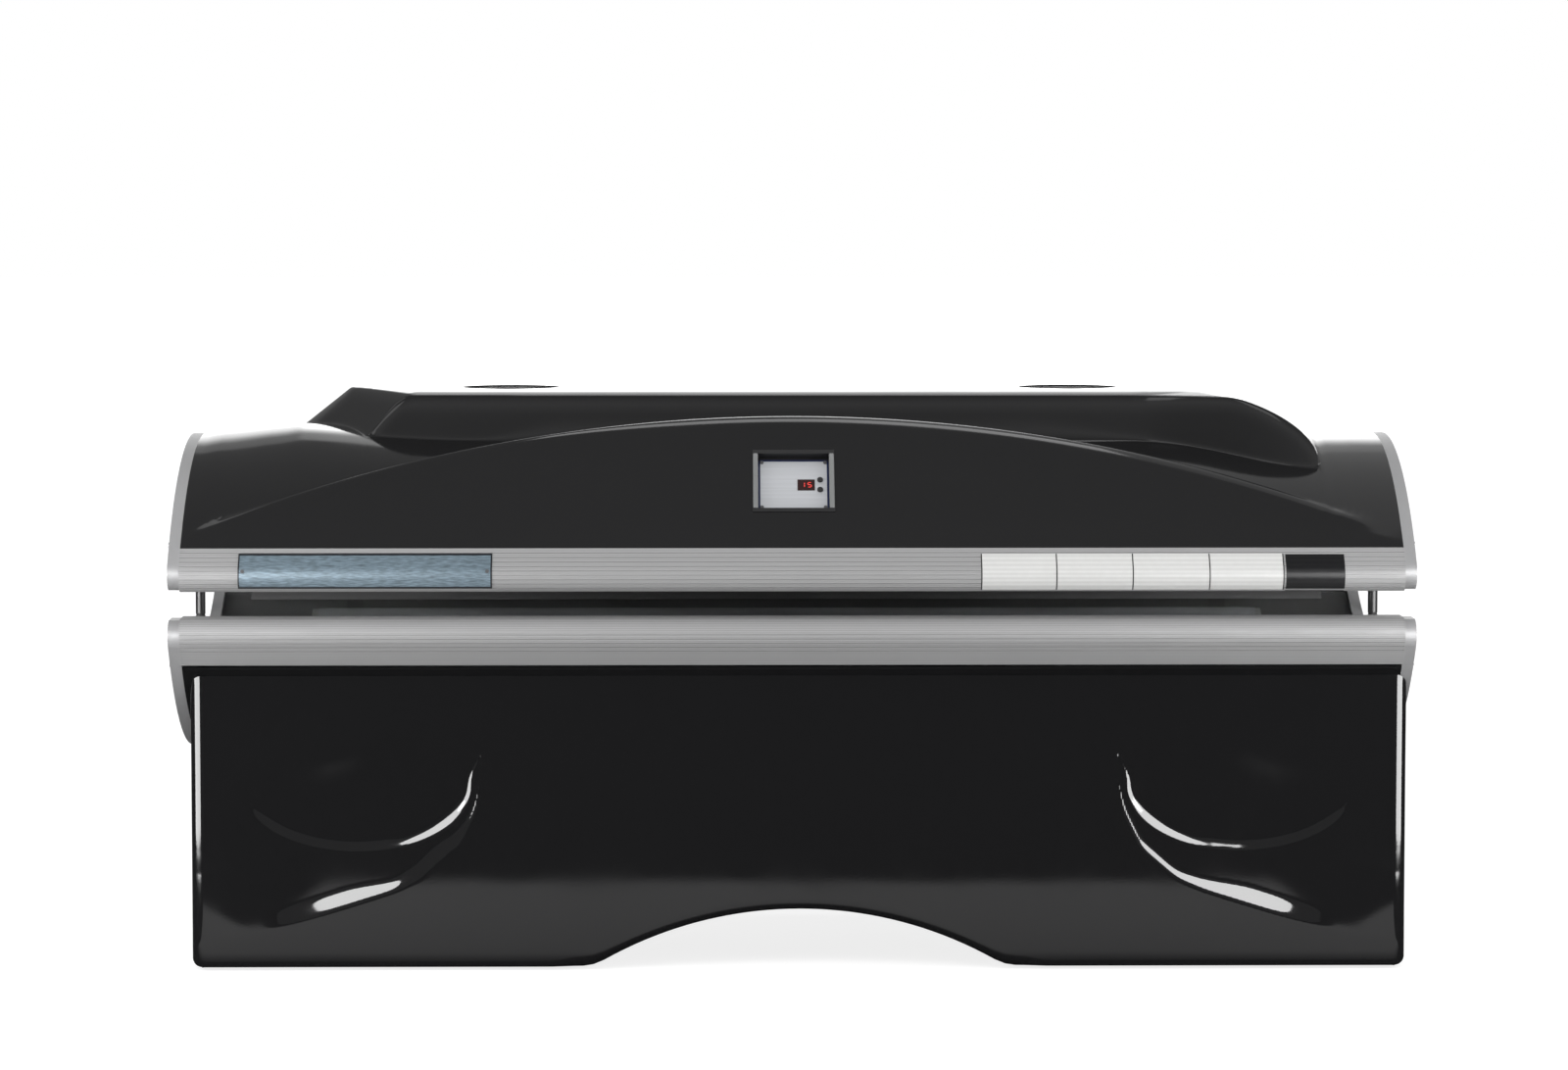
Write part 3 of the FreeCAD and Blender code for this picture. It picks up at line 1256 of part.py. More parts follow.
def make_frame():
    """Posts, cross rails and the saddle plates that cradle the belly."""
    length = size.saddle_base - size.post_foot_gap
    add_base_piece("base_posts", [square_tube(length, x, y, size.post_foot_gap)
                                  for x, y in post_places()])
    tube_length = 2 * post_x - size.post_side
    tubes = []
    for y in (-post_y, post_y):
        low = size.rail_tube_z - size.rail_tube_height / 2
        outer = centred_box(tube_length, size.rail_tube_width, size.rail_tube_height, y=y, z=low)
        inner = centred_box(tube_length, size.rail_tube_width - 2 * size.tube_wall,
                            size.rail_tube_height - 2 * size.tube_wall, y=y,
                            z=low + size.tube_wall)
        tubes.append(outer.cut(inner))
    add_base_piece("base_cross_rails", tubes)
    plates = []
    for side in (-1, 1):
        low = size.saddle_base
        reach = base_front - size.base_return - size.face_gap
        plate = Part.makeBox(size.saddle_wall, 2 * reach, panel_top_z - low,
                             Vector(side * post_x - size.saddle_wall / 2, -reach, low))
        plates.append(plate.cut(belly_cutter(belly_fit)))
    add_base_piece("bench_saddles", plates)


def make_feet():
    """Levelling feet: pad, stem, and a plug that closes the post's lower end."""
    plug_side = size.post_side - 2 * size.tube_wall - 2 * size.face_gap
    plate = size.tube_wall
    feet = []
    for x, y in post_places():
        pad_disc = Part.makeCylinder(size.foot_radius, size.foot_pad, Vector(x, y, 0))
        stem = Part.makeCylinder(size.foot_stem_radius, size.post_foot_gap, Vector(x, y, 0))
        cover = centred_box(size.post_side, size.post_side, plate, x, y,
                            size.post_foot_gap - plate)
        plug = centred_box(plug_side, plug_side, 3 * size.foot_stem_radius, x, y,
                           size.post_foot_gap)
        feet.append(pad_disc.fuse([stem, cover, plug]))
    add_base_piece("levelling_feet", feet)


def make_mains_inlet():
    """Junction box on the rear cross rail, with a cable gland in its rear face."""
    base_z = size.rail_tube_z + size.rail_tube_height / 2
    place = FreeCAD.Placement(Vector(size.box_x, post_y, base_z), FreeCAD.Rotation())
    body = add_body("mains_junction_box", place)
    sketch = new_sketch(body, "box_outline")
    draw_rectangle(sketch, "sizes.box_length", "sizes.box_width")
    pad(body, sketch, "sizes.box_height")
    face_y = post_y + size.box_width / 2
    centre = Vector(size.box_x, face_y, base_z + size.box_height / 2)
    gland = add_body("mains_gland", FreeCAD.Placement(centre, FreeCAD.Rotation(
        Vector(1, 0, 0), -90)))
    section = new_sketch(gland, "gland_section", role="XZ_Plane")
    draw_outline(section, [
        ("sizes.gland_bore", "0"),
        ("sizes.gland_radius", "0"),
        ("sizes.gland_radius", "sizes.gland_length / 2"),
        ("sizes.gland_radius - sizes.tube_wall", "sizes.gland_length"),
        ("sizes.gland_bore", "sizes.gland_length"),
    ])
    revolve(gland, section)


# ---------------------------------------------------------------- hinges and gas springs

hinge_y = size.bed_depth / 2 - size.hinge_inset
hinge_z = floor_to_bench_lip + size.lip_gap / 2


def hinge_leaf(clam, x_start, x_end):
    """Plate on the clam's lip, running into a round eye about the hinge's axis."""
    radius = size.hinge_ear_radius
    start_y = inner_y + size.acrylic_side_gap
    half_gap = size.lip_gap / 2
    corner = radius * math.sqrt(0.5)
    points = [
        clam.point(start_y, 0, x_start),
        clam.point(hinge_y - corner, 0, x_start),
        clam.point(hinge_y + corner, -half_gap + corner, x_start),
        clam.point(hinge_y - corner, -half_gap - corner, x_start),
        clam.point(start_y, -1.5 * size.hinge_plate, x_start),
    ]
    leaf = polygon_face(points).extrude(Vector(x_end - x_start, 0, 0))
    leaf = leaf.fuse(rod_x(radius, x_start, x_end, hinge_y, hinge_z))
    return leaf.cut(rod_x(size.hinge_pin_radius + size.hinge_fit, x_start - 1, x_end + 1,
                          hinge_y, hinge_z))


def hinge_plate(clam, half_width):
    low = min(clam.z(0), clam.z(-size.hinge_plate))
    start_y = inner_y + size.acrylic_side_gap
    return Part.makeBox(2 * half_width, size.hinge_plate_depth, size.hinge_plate,
                        Vector(-half_width, start_y, low))


def make_hinges():
    """Two clevis hinges: ears on the bench, a knuckle on the canopy and a headed pin."""
    half_knuckle = size.hinge_knuckle / 2
    ear_start = half_knuckle + size.hinge_side_gap
    ear_end = ear_start + size.hinge_ear_wall
    clevis = hinge_plate(bench, ear_end).fuse([
        hinge_leaf(bench, -ear_end, -ear_start),
        hinge_leaf(bench, ear_start, ear_end),
    ]).removeSplitter()
    knuckle = hinge_plate(canopy, half_knuckle).fuse(
        hinge_leaf(canopy, -half_knuckle, half_knuckle)).removeSplitter()
    head = size.hinge_side_gap * 6
    pin = rod_x(size.hinge_pin_radius, -ear_end - head, ear_end + head, hinge_y, hinge_z)
    for start in (-ear_end - head, ear_end):
        pin = pin.fuse(rod_x(size.hinge_ear_radius * 0.75, start, start + head,
                             hinge_y, hinge_z))
    groups = {"bench_hinge_clevises": clevis, "canopy_hinge_knuckles": knuckle,
              "hinge_pins": pin.removeSplitter()}
    for label, shape in groups.items():
        add_piece(label, [shape.translated(Vector(side * size.hinge_x, 0, 0))
                          for side in (-1, 1)])


spring_y = size.bed_depth / 2 - size.spring_inset
spring_x = half_shell + size.cap_thickness + size.spring_offset


def eyelet(z, bore):
    half = size.spring_eye_width / 2
    ring = rod_x(size.spring_eye_radius, spring_x - half, spring_x + half, spring_y, z)
    return ring, rod_x(bore, spring_x - half - 1, spring_x + half + 1, spring_y, z)


def make_gas_springs():
    """Rod with its eyelet on the bench stud; cylinder with its eyelet on the canopy stud."""
    low = size.spring_low
    top = low + size.spring_length
    tube_low = low + size.spring_neck
    tube_top = top - size.spring_eye_radius - size.spring_rod_radius
    axis = Vector(spring_x, spring_y, 0)
    ring, bore = eyelet(low, size.stud_radius + size.stud_fit)
    rod_top = tube_top - size.spring_end_wall - size.spring_end_wall / 2
    rod_foot = low + size.spring_eye_radius - 1
    rod = Part.makeCylinder(size.spring_rod_radius, rod_top - rod_foot,
                            axis + Vector(0, 0, rod_foot))
    piston = Part.makeCylinder(size.spring_bore - size.spring_piston_gap,
                               size.spring_rod_radius,
                               axis + Vector(0, 0, rod_top - size.spring_rod_radius))
    rod = ring.fuse([rod, piston]).cut(bore).removeSplitter()
    ring, bore = eyelet(top, size.stud_radius + size.stud_free_gap)
    tube = Part.makeCylinder(size.spring_tube_radius, tube_top - tube_low,
                             axis + Vector(0, 0, tube_low))
    chamber_low = tube_low + size.spring_end_wall
    chamber = Part.makeCylinder(size.spring_bore,
                                tube_top - size.spring_end_wall - chamber_low,
                                axis + Vector(0, 0, chamber_low))
    guide = Part.makeCylinder(size.spring_rod_radius + size.spring_running_fit,
                              size.spring_end_wall + 2, axis + Vector(0, 0, tube_low - 1))
    neck = Part.makeCylinder(size.spring_eye_width / 2, 2 * size.spring_rod_radius,
                             axis + Vector(0, 0, tube_top))
    cylinder = ring.fuse([tube, neck]).cut([bore, chamber, guide]).removeSplitter()
    for word, shape in (("rod", rod), ("cylinder", cylinder)):
        add_piece("gas_spring_%s_right" % word, shape)
        add_piece("gas_spring_%s_left" % word, mirrored_x(shape))


def spring_stud(z):
    """Stud on the end cap's face with a base flange and a retaining head."""
    face_x = half_shell + size.cap_thickness
    head_x = spring_x + size.spring_eye_width / 2 + 2 * size.face_gap
    flange = size.spring_offset - size.spring_eye_width / 2 - size.spring_tube_radius
    flange = max(flange, size.stud_head)
    stud = rod_x(size.stud_radius, face_x, head_x + size.stud_head, spring_y, z)
    base = rod_x(size.stud_base_radius, face_x, face_x + flange, spring_y, z)
    head = rod_x(size.stud_head_radius, head_x, head_x + size.stud_head, spring_y, z)
    return stud.fuse([base, head]).removeSplitter()


def make_spring_studs():
    for label, z in (("bench_spring_studs", size.spring_low),
                     ("canopy_spring_studs", size.spring_low + size.spring_length)):
        stud = spring_stud(z)
        add_piece(label, [stud, mirrored_x(stud)])


def make_cap_screws():
    """Screw heads round the rim of each end cap."""
    face_x = half_shell + size.cap_thickness
    inset = size.cap_rim + size.cap_screw_radius
    reach = size.bed_depth / 2 - size.nose_radius * 2
    for name, clam in (("bench", bench), ("canopy", canopy)):
        heads = []
        for step in (-1, -0.5, 0, 0.5, 1):
            y = step * reach
            z = clam.z(clam.outer_w(y, inset))
            head = rod_x(size.cap_screw_radius, face_x, face_x + size.cap_screw_head, y, z)
            heads.append(head)
            heads.append(mirrored_x(head))
        add_piece(name + "_cap_screws", heads)


# ---------------------------------------------------------------- build and export

make_base_panels()
make_frame()
make_feet()
make_mains_inlet()
make_belly_pan()
make_rails()
make_end_caps()
make_acrylics_and_reflectors()
make_lamps()
make_ballasts()
make_canopy_shell()
make_ribs()
make_fans()
make_bezel()
make_control_plate()
make_display()
make_timer_board()
make_buttons()
make_nameplate()
make_panel_screws()
make_hinges()
make_gas_springs()
make_spring_studs()
make_cap_screws()

doc.recompute()
for item in doc.Objects:
    for state in ("Invalid", "Error"):
        if state in item.State:
            raise RuntimeError("%s is %s" % (item.Label, state))
for node in nodes:
    if node.Shape.isNull() or not node.Shape.isValid():
        raise RuntimeError("%s has no valid shape" % node.Label)

os.makedirs("parts", exist_ok=True)
for node in nodes:
    node.Shape.exportStep("parts/%s.step" % node.Label)
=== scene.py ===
import math

import bmesh
import bpy
import numpy as np
from mathutils import Matrix, Vector


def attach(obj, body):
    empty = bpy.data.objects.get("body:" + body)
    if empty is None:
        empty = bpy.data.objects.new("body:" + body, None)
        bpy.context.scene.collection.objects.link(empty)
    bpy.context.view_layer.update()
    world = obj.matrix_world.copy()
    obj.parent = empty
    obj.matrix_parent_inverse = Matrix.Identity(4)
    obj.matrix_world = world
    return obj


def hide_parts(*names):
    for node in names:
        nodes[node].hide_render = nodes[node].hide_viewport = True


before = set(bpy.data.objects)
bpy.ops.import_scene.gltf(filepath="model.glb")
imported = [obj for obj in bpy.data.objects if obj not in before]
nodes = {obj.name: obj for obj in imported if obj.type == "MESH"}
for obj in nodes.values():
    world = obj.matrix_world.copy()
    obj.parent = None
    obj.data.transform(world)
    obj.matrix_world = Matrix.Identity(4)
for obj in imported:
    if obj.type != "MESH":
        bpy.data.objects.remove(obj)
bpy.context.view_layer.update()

MM = 0.001

# ---------------------------------------------------------------- sizes, in millimetres

HALF_SHELL = 1060.0
BARREL_RADIUS = 578.49
BARREL_AXIS_Z = 341.51
SHELL_BASE_Z = 742.0
SHELL_WALL = 4.0
SHELL_ROWS = 190
CREASE_Y = -393.0
CREASE_Z = 766.0
LENS_SLOPE = math.radians(48)
LENS_X = 3.0
LENS_RISE = 116.0
LENS_MIDDLE = (LENS_X * MM, (CREASE_Y + LENS_RISE * math.cos(LENS_SLOPE)) * MM,
               (CREASE_Z + LENS_RISE * math.sin(LENS_SLOPE)) * MM)
RIDGE_RISE = 194.0
RIDGE_SPAN = 1050.0
RIDGE_BACK = 0.35
HOOD_TOP = 1003.0
HOOD_FRONT = -85.0
HOOD_REAR = 205.0
HOOD_LEFT = -798.0
HOOD_RIGHT = 736.0
FAN_X = 508.0
FAN_Y = 62.0
FAN_RADIUS = 90.0
PLATE_OPENING = (0.134, 0.128, 0.06)
BASE_HALF = 1061.0
BASE_OFFSET = 12.0
BASE_FRONT = -393.0
BASE_BACK = -333.0
BASE_LOW = 6.0
BASE_TOP = 520.0
BASE_WALL = 5.0
BASE_CORNER = 22.0
BASE_EDGE = 16.0
BASE_FLANGE = 34.0
ARCH_HEIGHT = 106.0
ARCH_HALF = 369.0
RIM_U = (556.0, 551.0, 564.0, 594.0, 657.0, 706.0, 780.0, 850.0, 942.0, 1000.0, 1060.0)
RIM_Z = (392.0, 350.0, 284.0, 219.0, 164.0, 141.0, 117.0, 95.0, 67.0, 56.0, 50.0)
DISH_U = 772.0
DISH_Z = 324.0
DISH_HALF_U = 200.0
DISH_HALF_LOW = 114.0
DISH_HALF_HIGH = 170.0
NOSE_Y = -422.0
NOSE_Z = 695.0
NOSE_RADIUS = 28.0
NOSE_END_Z = 713.0
FILM_LIFT = 0.45
FILM_WALL = 0.4
DISPLAY_X = 22.0
BEAD_X = 66.8
BELLY_RADIUS = 562.0
BELLY_AXIS_Z = 919.7
BENCH_RADIUS = 763.6
BENCH_AXIS_Z = 1274.6
STRIP_INNER = 336.0
STRIP_OUTER = 374.0
STRIP_HALF = 1010.0
STRIP_WALL = 2.6
SPRING_X = 1098.0
SPRING_Y = 270.0
BOOT_PROFILE = ((4.3, 553.0), (8.0, 553.0), (8.9, 555.0), (8.9, 558.0), (7.8, 560.0),
                (8.9, 562.0), (8.9, 565.0), (7.8, 567.0), (8.9, 568.5), (8.9, 569.8),
                (4.3, 569.8))


# ---------------------------------------------------------------- material helpers

def new_material(name, colour, roughness, metallic=0.0):
    """A principled material, its node tree, and its shader node."""
    material = bpy.data.materials.new(name)
    material.use_nodes = True
    tree = material.node_tree
    shader = tree.nodes["Principled BSDF"]
    shader.inputs["Base Color"].default_value = (*colour, 1.0)
    shader.inputs["Roughness"].default_value = roughness
    shader.inputs["Metallic"].default_value = metallic
    return material, tree, shader


def add_node(tree, kind, **settings):
    """A node of the kind, with its settings."""
    node = tree.nodes.new(kind)
    for key, value in settings.items():
        setattr(node, key, value)
    return node


def object_place(tree, scale=(1, 1, 1)):
    """Object coordinates, stretched by a scale."""
    coordinates = add_node(tree, "ShaderNodeTexCoord")
    mapping = add_node(tree, "ShaderNodeMapping")
    mapping.inputs["Scale"].default_value = scale
    tree.links.new(coordinates.outputs["Object"], mapping.inputs["Vector"])
    return mapping.outputs["Vector"]


def noise(tree, place, scale, detail=3.0, roughness=0.5):
    """Even noise from 0 to 1."""
    node = add_node(tree, "ShaderNodeTexNoise")
    node.inputs["Scale"].default_value = scale
    node.inputs["Detail"].default_value = detail
    node.inputs["Roughness"].default_value = roughness
    tree.links.new(place, node.inputs["Vector"])
    return node.outputs["Fac"]


def spread(tree, source, low, high, from_low=0.0, from_high=1.0):
    """Stretches a value's range to run from low to high, and holds it there."""
    node = add_node(tree, "ShaderNodeMapRange")
    node.inputs["From Min"].default_value = from_low
    node.inputs["From Max"].default_value = from_high
    node.inputs["To Min"].default_value = low
    node.inputs["To Max"].default_value = high
    tree.links.new(source, node.inputs["Value"])
    return node.outputs["Result"]


def mix_colours(tree, factor, first, second):
    """Mixes two colours, either of them plain or the output of a node."""
    node = add_node(tree, "ShaderNodeMix", data_type="RGBA")
    for name, colour in (("A", first), ("B", second)):
        if isinstance(colour, tuple):
            node.inputs[name].default_value = (*colour, 1.0)
        else:
            tree.links.new(colour, node.inputs[name])
    tree.links.new(factor, node.inputs["Factor"])
    return node.outputs["Result"]


def combine(tree, first, second, operation="MULTIPLY"):
    """Joins two values, or a value and a number, with one arithmetic step."""
    node = add_node(tree, "ShaderNodeMath", operation=operation)
    for place, source in enumerate((first, second)):
        if isinstance(source, float):
            node.inputs[place].default_value = source
        else:
            tree.links.new(source, node.inputs[place])
    return node.outputs["Value"]


def split(tree, vector):
    """The three parts of a vector."""
    parts = add_node(tree, "ShaderNodeSeparateXYZ")
    tree.links.new(vector, parts.inputs["Vector"])
    return [parts.outputs[name] for name in "XYZ"]


def local_place(tree, middle, turn):
    """Object coordinates counted from a middle in metres, in a turned frame."""
    coordinates = add_node(tree, "ShaderNodeTexCoord")
    mapping = add_node(tree, "ShaderNodeMapping", vector_type="TEXTURE")
    mapping.inputs["Location"].default_value = middle
    mapping.inputs["Rotation"].default_value = turn
    tree.links.new(coordinates.outputs["Object"], mapping.inputs["Vector"])
    return mapping.outputs["Vector"]


def beyond(tree, value, limit):
    """1 where the value is further than the limit from zero."""
    node = add_node(tree, "ShaderNodeMath", operation="ABSOLUTE")
    tree.links.new(value, node.inputs[0])
    return combine(tree, node.outputs["Value"], limit, "GREATER_THAN")


def ribs(tree, place, pitch):
    """Even lines across the height, from 0 to 1."""
    node = add_node(tree, "ShaderNodeTexWave", bands_direction="Z")
    node.inputs["Scale"].default_value = 2 * math.pi / (20.0 * pitch)
    tree.links.new(place, node.inputs["Vector"])
    return node.outputs["Fac"]


def add_bump(tree, shader, source, strength, distance, before=None):
    """Roughens a shader's surface, over an earlier bump where one is given."""
    node = add_node(tree, "ShaderNodeBump")
    node.inputs["Strength"].default_value = strength
    node.inputs["Distance"].default_value = distance
    tree.links.new(source, node.inputs["Height"])
    if before is not None:
        tree.links.new(before, node.inputs["Normal"])
    tree.links.new(node.outputs["Normal"], shader.inputs["Normal"])
    return node.outputs["Normal"]


# ---------------------------------------------------------------- materials

def moulded_black(name, colour, low, high):
    """Gloss thermoformed plastic: soft waves, fine polish haze and dust."""
    material, tree, shader = new_material(name, colour, 0.1)
    place = object_place(tree)
    haze = noise(tree, place, 9.0, 4.0, 0.6)
    tree.links.new(spread(tree, haze, low, high, 0.3, 0.7), shader.inputs["Roughness"])
    waves = noise(tree, place, 5.0, 1.0, 0.4)
    first = add_bump(tree, shader, waves, 0.25, 0.002)
    peel = noise(tree, place, 260.0, 2.0, 0.5)
    add_bump(tree, shader, peel, 0.03, 0.0004, first)
    shader.inputs["IOR"].default_value = 1.5
    return material


def drawn_silver(name, colour, metallic, roughness):
    """Anodised extrusion: even lines along its length, faint handling marks, and painted shade in
    its fine rib grooves.
    """
    material, tree, shader = new_material(name, colour, roughness, metallic)
    lines = noise(tree, object_place(tree, scale=(0.25, 500.0, 500.0)), 1.0, 2.0, 0.5)
    bands = ribs(tree, object_place(tree), 0.0037)
    marks = noise(tree, object_place(tree), 14.0, 5.0, 0.6)
    darker = tuple(0.94 * c for c in colour)
    lighter = tuple(min(1.0, 1.03 * c) for c in colour)
    streaked = mix_colours(tree, spread(tree, lines, 0.0, 1.0, 0.3, 0.7), darker, lighter)
    # painted shade: the rib wave darkens the silver where the grooves run
    groove_shaded = mix_colours(tree, spread(tree, bands, 0.0, 0.5), streaked,
                         tuple(0.66 * c for c in colour))
    shader.inputs["Specular IOR Level"].default_value = 0.3
    tree.links.new(groove_shaded, shader.inputs["Base Color"])
    tree.links.new(spread(tree, marks, roughness - 0.05, roughness + 0.08, 0.3, 0.7),
                   shader.inputs["Roughness"])
    add_bump(tree, shader, bands, 0.1, 0.0004)
    return material


def cast_silver(name, colour, metallic, roughness):
    """Painted cap: a fine even grain under a satin lacquer."""
    material, tree, shader = new_material(name, colour, roughness, metallic)
    place = object_place(tree)
    grain = noise(tree, place, 700.0, 2.0, 0.6)
    patches = noise(tree, place, 10.0, 3.0, 0.5)
    darker = tuple(0.93 * c for c in colour)
    tree.links.new(mix_colours(tree, patches, darker, colour), shader.inputs["Base Color"])
    tree.links.new(spread(tree, patches, roughness - 0.04, roughness + 0.06),
                   shader.inputs["Roughness"])
    add_bump(tree, shader, grain, 0.06, 0.0003)
    return material


def plain_stock(name, colour, roughness, metallic=0.0, grain_scale=300.0, strength=0.1):
    """Sheet, tube, plastic or rubber with a grain and uneven tone."""
    material, tree, shader = new_material(name, colour, roughness, metallic)
    place = object_place(tree)
    grain = noise(tree, place, grain_scale, 3.0, 0.6)
    patches = noise(tree, place, 12.0, 4.0, 0.6)
    darker = tuple(0.82 * c for c in colour)
    tree.links.new(mix_colours(tree, patches, darker, colour), shader.inputs["Base Color"])
    tree.links.new(spread(tree, patches, max(0.02, roughness - 0.07), roughness + 0.07),
                   shader.inputs["Roughness"])
    add_bump(tree, shader, grain, strength, 0.0004)
    return material


def clear_sheet(name):
    """Acrylic with a grey tint, deeper than the sheet's own faint one as painted shade for the
    closed bed's inside, and hairline scratches.
    """
    # painted shade: the grey tint darkens what is seen through the sheet
    material, tree, shader = new_material(name, (0.58, 0.59, 0.59), 0.06)
    shader.inputs["Transmission Weight"].default_value = 1.0
    shader.inputs["IOR"].default_value = 1.49
    scratches = noise(tree, object_place(tree, scale=(1.0, 40.0, 40.0)), 6.0, 6.0, 0.7)
    tree.links.new(spread(tree, scratches, 0.03, 0.16, 0.45, 0.8), shader.inputs["Roughness"])
    add_bump(tree, shader, scratches, 0.02, 0.0002)
    return material


def framed_plate(name, middle, turn, half_u, half_v, edge, inks, roughness, woven=False):
    """Thin plate with a line round its edge, and a brushed or woven ground."""
    ground, line = inks
    material, tree, shader = new_material(name, ground, roughness, 0.25)
    place = local_place(tree, middle, turn)
    across, up, _ = split(tree, place)
    rough = noise(tree, place, 160.0, 4.0, 0.6)
    if woven:
        strokes = []
        for angle in (0.9, -0.7):
            turned = add_node(tree, "ShaderNodeMapping")
            turned.inputs["Rotation"].default_value = (0, 0, angle)
            turned.inputs["Scale"].default_value = (60.0, 420.0, 60.0)
            tree.links.new(place, turned.inputs["Vector"])
            strokes.append(noise(tree, turned.outputs["Vector"], 1.0, 2.0, 0.5))
        grain = spread(tree, combine(tree, *strokes, "ADD"), 0.0, 1.0, 0.7, 1.3)
    else:
        grain = noise(tree, object_place(tree, scale=(4.0, 300.0, 300.0)), 1.0, 3.0, 0.6)
    darker = tuple((0.55 if woven else 0.9) * c for c in ground)
    surface = mix_colours(tree, grain, darker, tuple(min(1.0, 1.25 * c) for c in ground))
    border = combine(tree, beyond(tree, across, half_u - edge), beyond(tree, up, half_v - edge),
                     "MAXIMUM")
    tree.links.new(mix_colours(tree, border, surface, line), shader.inputs["Base Color"])
    tree.links.new(spread(tree, rough, roughness - 0.06, roughness + 0.08),
                   shader.inputs["Roughness"])
    add_bump(tree, shader, grain, 0.2 if woven else 0.08, 0.0003)
    return material


def printed_label(name, ground, ink, dividers):
    """Blank label: a film with thin rules across it, a paper grain, and painted shade where the
    rail's rib grooves run under it.
    """
    material, tree, shader = new_material(name, ground, 0.35)
    place = object_place(tree)
    across = split(tree, place)[0]
    rules = None
    for x in dividers:
        off = combine(tree, across, x * MM, "SUBTRACT")
        far = beyond(tree, off, 0.0011)
        here = combine(tree, 1.0, far, "SUBTRACT")
        rules = here if rules is None else combine(tree, rules, here, "MAXIMUM")
    grain = noise(tree, place, 90.0, 4.0, 0.6)
    bands = ribs(tree, place, 0.0074)
    surface = mix_colours(tree, grain, tuple(0.9 * c for c in ground), ground)
    # painted shade: darker bands at the rail's groove pitch
    surface = mix_colours(tree, spread(tree, bands, 0.0, 0.35), surface,
                          tuple(0.6 * c + 0.01 for c in ground))
    shader.inputs["Specular IOR Level"].default_value = 0.25
    if rules is not None:
        surface = mix_colours(tree, rules, surface, ink)
    tree.links.new(surface, shader.inputs["Base Color"])
    tree.links.new(spread(tree, grain, 0.28, 0.45), shader.inputs["Roughness"])
    add_bump(tree, shader, bands, 0.1, 0.0004)
    return material


def lit_segments(name):
    """Red display bars, uneven in brightness."""
    material, tree, shader = new_material(name, (0.6, 0.02, 0.015), 0.3)
    glow = noise(tree, object_place(tree), 300.0, 2.0, 0.5)
    shader.inputs["Emission Color"].default_value = (1.0, 0.06, 0.04, 1.0)
    tree.links.new(spread(tree, glow, 0.35, 0.7), shader.inputs["Emission Strength"])
    tree.links.new(spread(tree, glow, 0.2, 0.4), shader.inputs["Roughness"])
    return material


MATERIALS = {
    "shell_black": moulded_black("shell_black", (0.0115, 0.0115, 0.012), 0.07, 0.13),
    "base_black": moulded_black("base_black", (0.0085, 0.0085, 0.009), 0.03, 0.08),
    "rail_silver": drawn_silver("rail_silver", (0.315, 0.315, 0.317), 0.1, 0.6),
    "cap_silver": cast_silver("cap_silver", (0.3, 0.3, 0.305), 0.12, 0.45),
    "plate_print": framed_plate("plate_print", LENS_MIDDLE, (LENS_SLOPE, 0, 0), 0.062, 0.056,
                                0.0035, ((0.42, 0.43, 0.45), (0.008, 0.015, 0.06)), 0.42),
    "nameplate_blue": framed_plate("nameplate_blue", (-0.739, -0.45, 0.704),
                                   (math.radians(90), 0, 0), 0.219, 0.029, 0.0024,
                                   ((0.15, 0.205, 0.245), (0.008, 0.01, 0.015)), 0.42, True),
    "window_dark": plain_stock("window_dark", (0.03, 0.012, 0.012), 0.12, 0.0, 250.0, 0.02),
    "segment_red": lit_segments("segment_red"),
    "label_white": printed_label("label_white", (0.63, 0.63, 0.62), (0.02, 0.02, 0.02),
                                 (326.2, 456.0, 588.0, 721.0, 848.8)),
    "label_black": printed_label("label_black", (0.007, 0.007, 0.008), (0.3, 0.3, 0.3), ()),
    "zinc": plain_stock("zinc", (0.36, 0.37, 0.38), 0.38, 0.8, 90.0, 0.08),
    "ballast_paint": plain_stock("ballast_paint", (0.6, 0.61, 0.6), 0.45, 0.0, 220.0, 0.06),
    "frame_steel": plain_stock("frame_steel", (0.03, 0.03, 0.032), 0.45),
    "bright_steel": plain_stock("bright_steel", (0.5, 0.5, 0.51), 0.3, 0.6, 500.0, 0.05),
    "reflector": plain_stock("reflector", (0.75, 0.76, 0.78), 0.18, 0.9, 120.0, 0.08),
    "lamp_glass": plain_stock("lamp_glass", (0.82, 0.83, 0.86), 0.22, 0.0, 200.0, 0.02),
    "black_plastic": plain_stock("black_plastic", (0.014, 0.014, 0.015), 0.35, 0.0, 500.0, 0.15),
    "white_plastic": plain_stock("white_plastic", (0.7, 0.7, 0.68), 0.4, 0.0, 400.0, 0.1),
    "dark_steel": plain_stock("dark_steel", (0.1, 0.1, 0.105), 0.3, 0.2, 500.0, 0.05),
    # painted highlight: grey for the bright side edges of the black bezel
    "bead_painted_highlight": plain_stock("bead_painted_highlight", (0.2, 0.205, 0.205), 0.3, 0.0, 500.0, 0.05),
    "strip_grey": plain_stock("strip_grey", (0.13, 0.13, 0.13), 0.6, 0.0, 350.0, 0.2),
    "rubber": plain_stock("rubber", (0.018, 0.018, 0.018), 0.75, 0.0, 350.0, 0.25),
    "board_green": plain_stock("board_green", (0.02, 0.12, 0.05), 0.4, 0.0, 300.0, 0.1),
    "acrylic": clear_sheet("acrylic"),
}

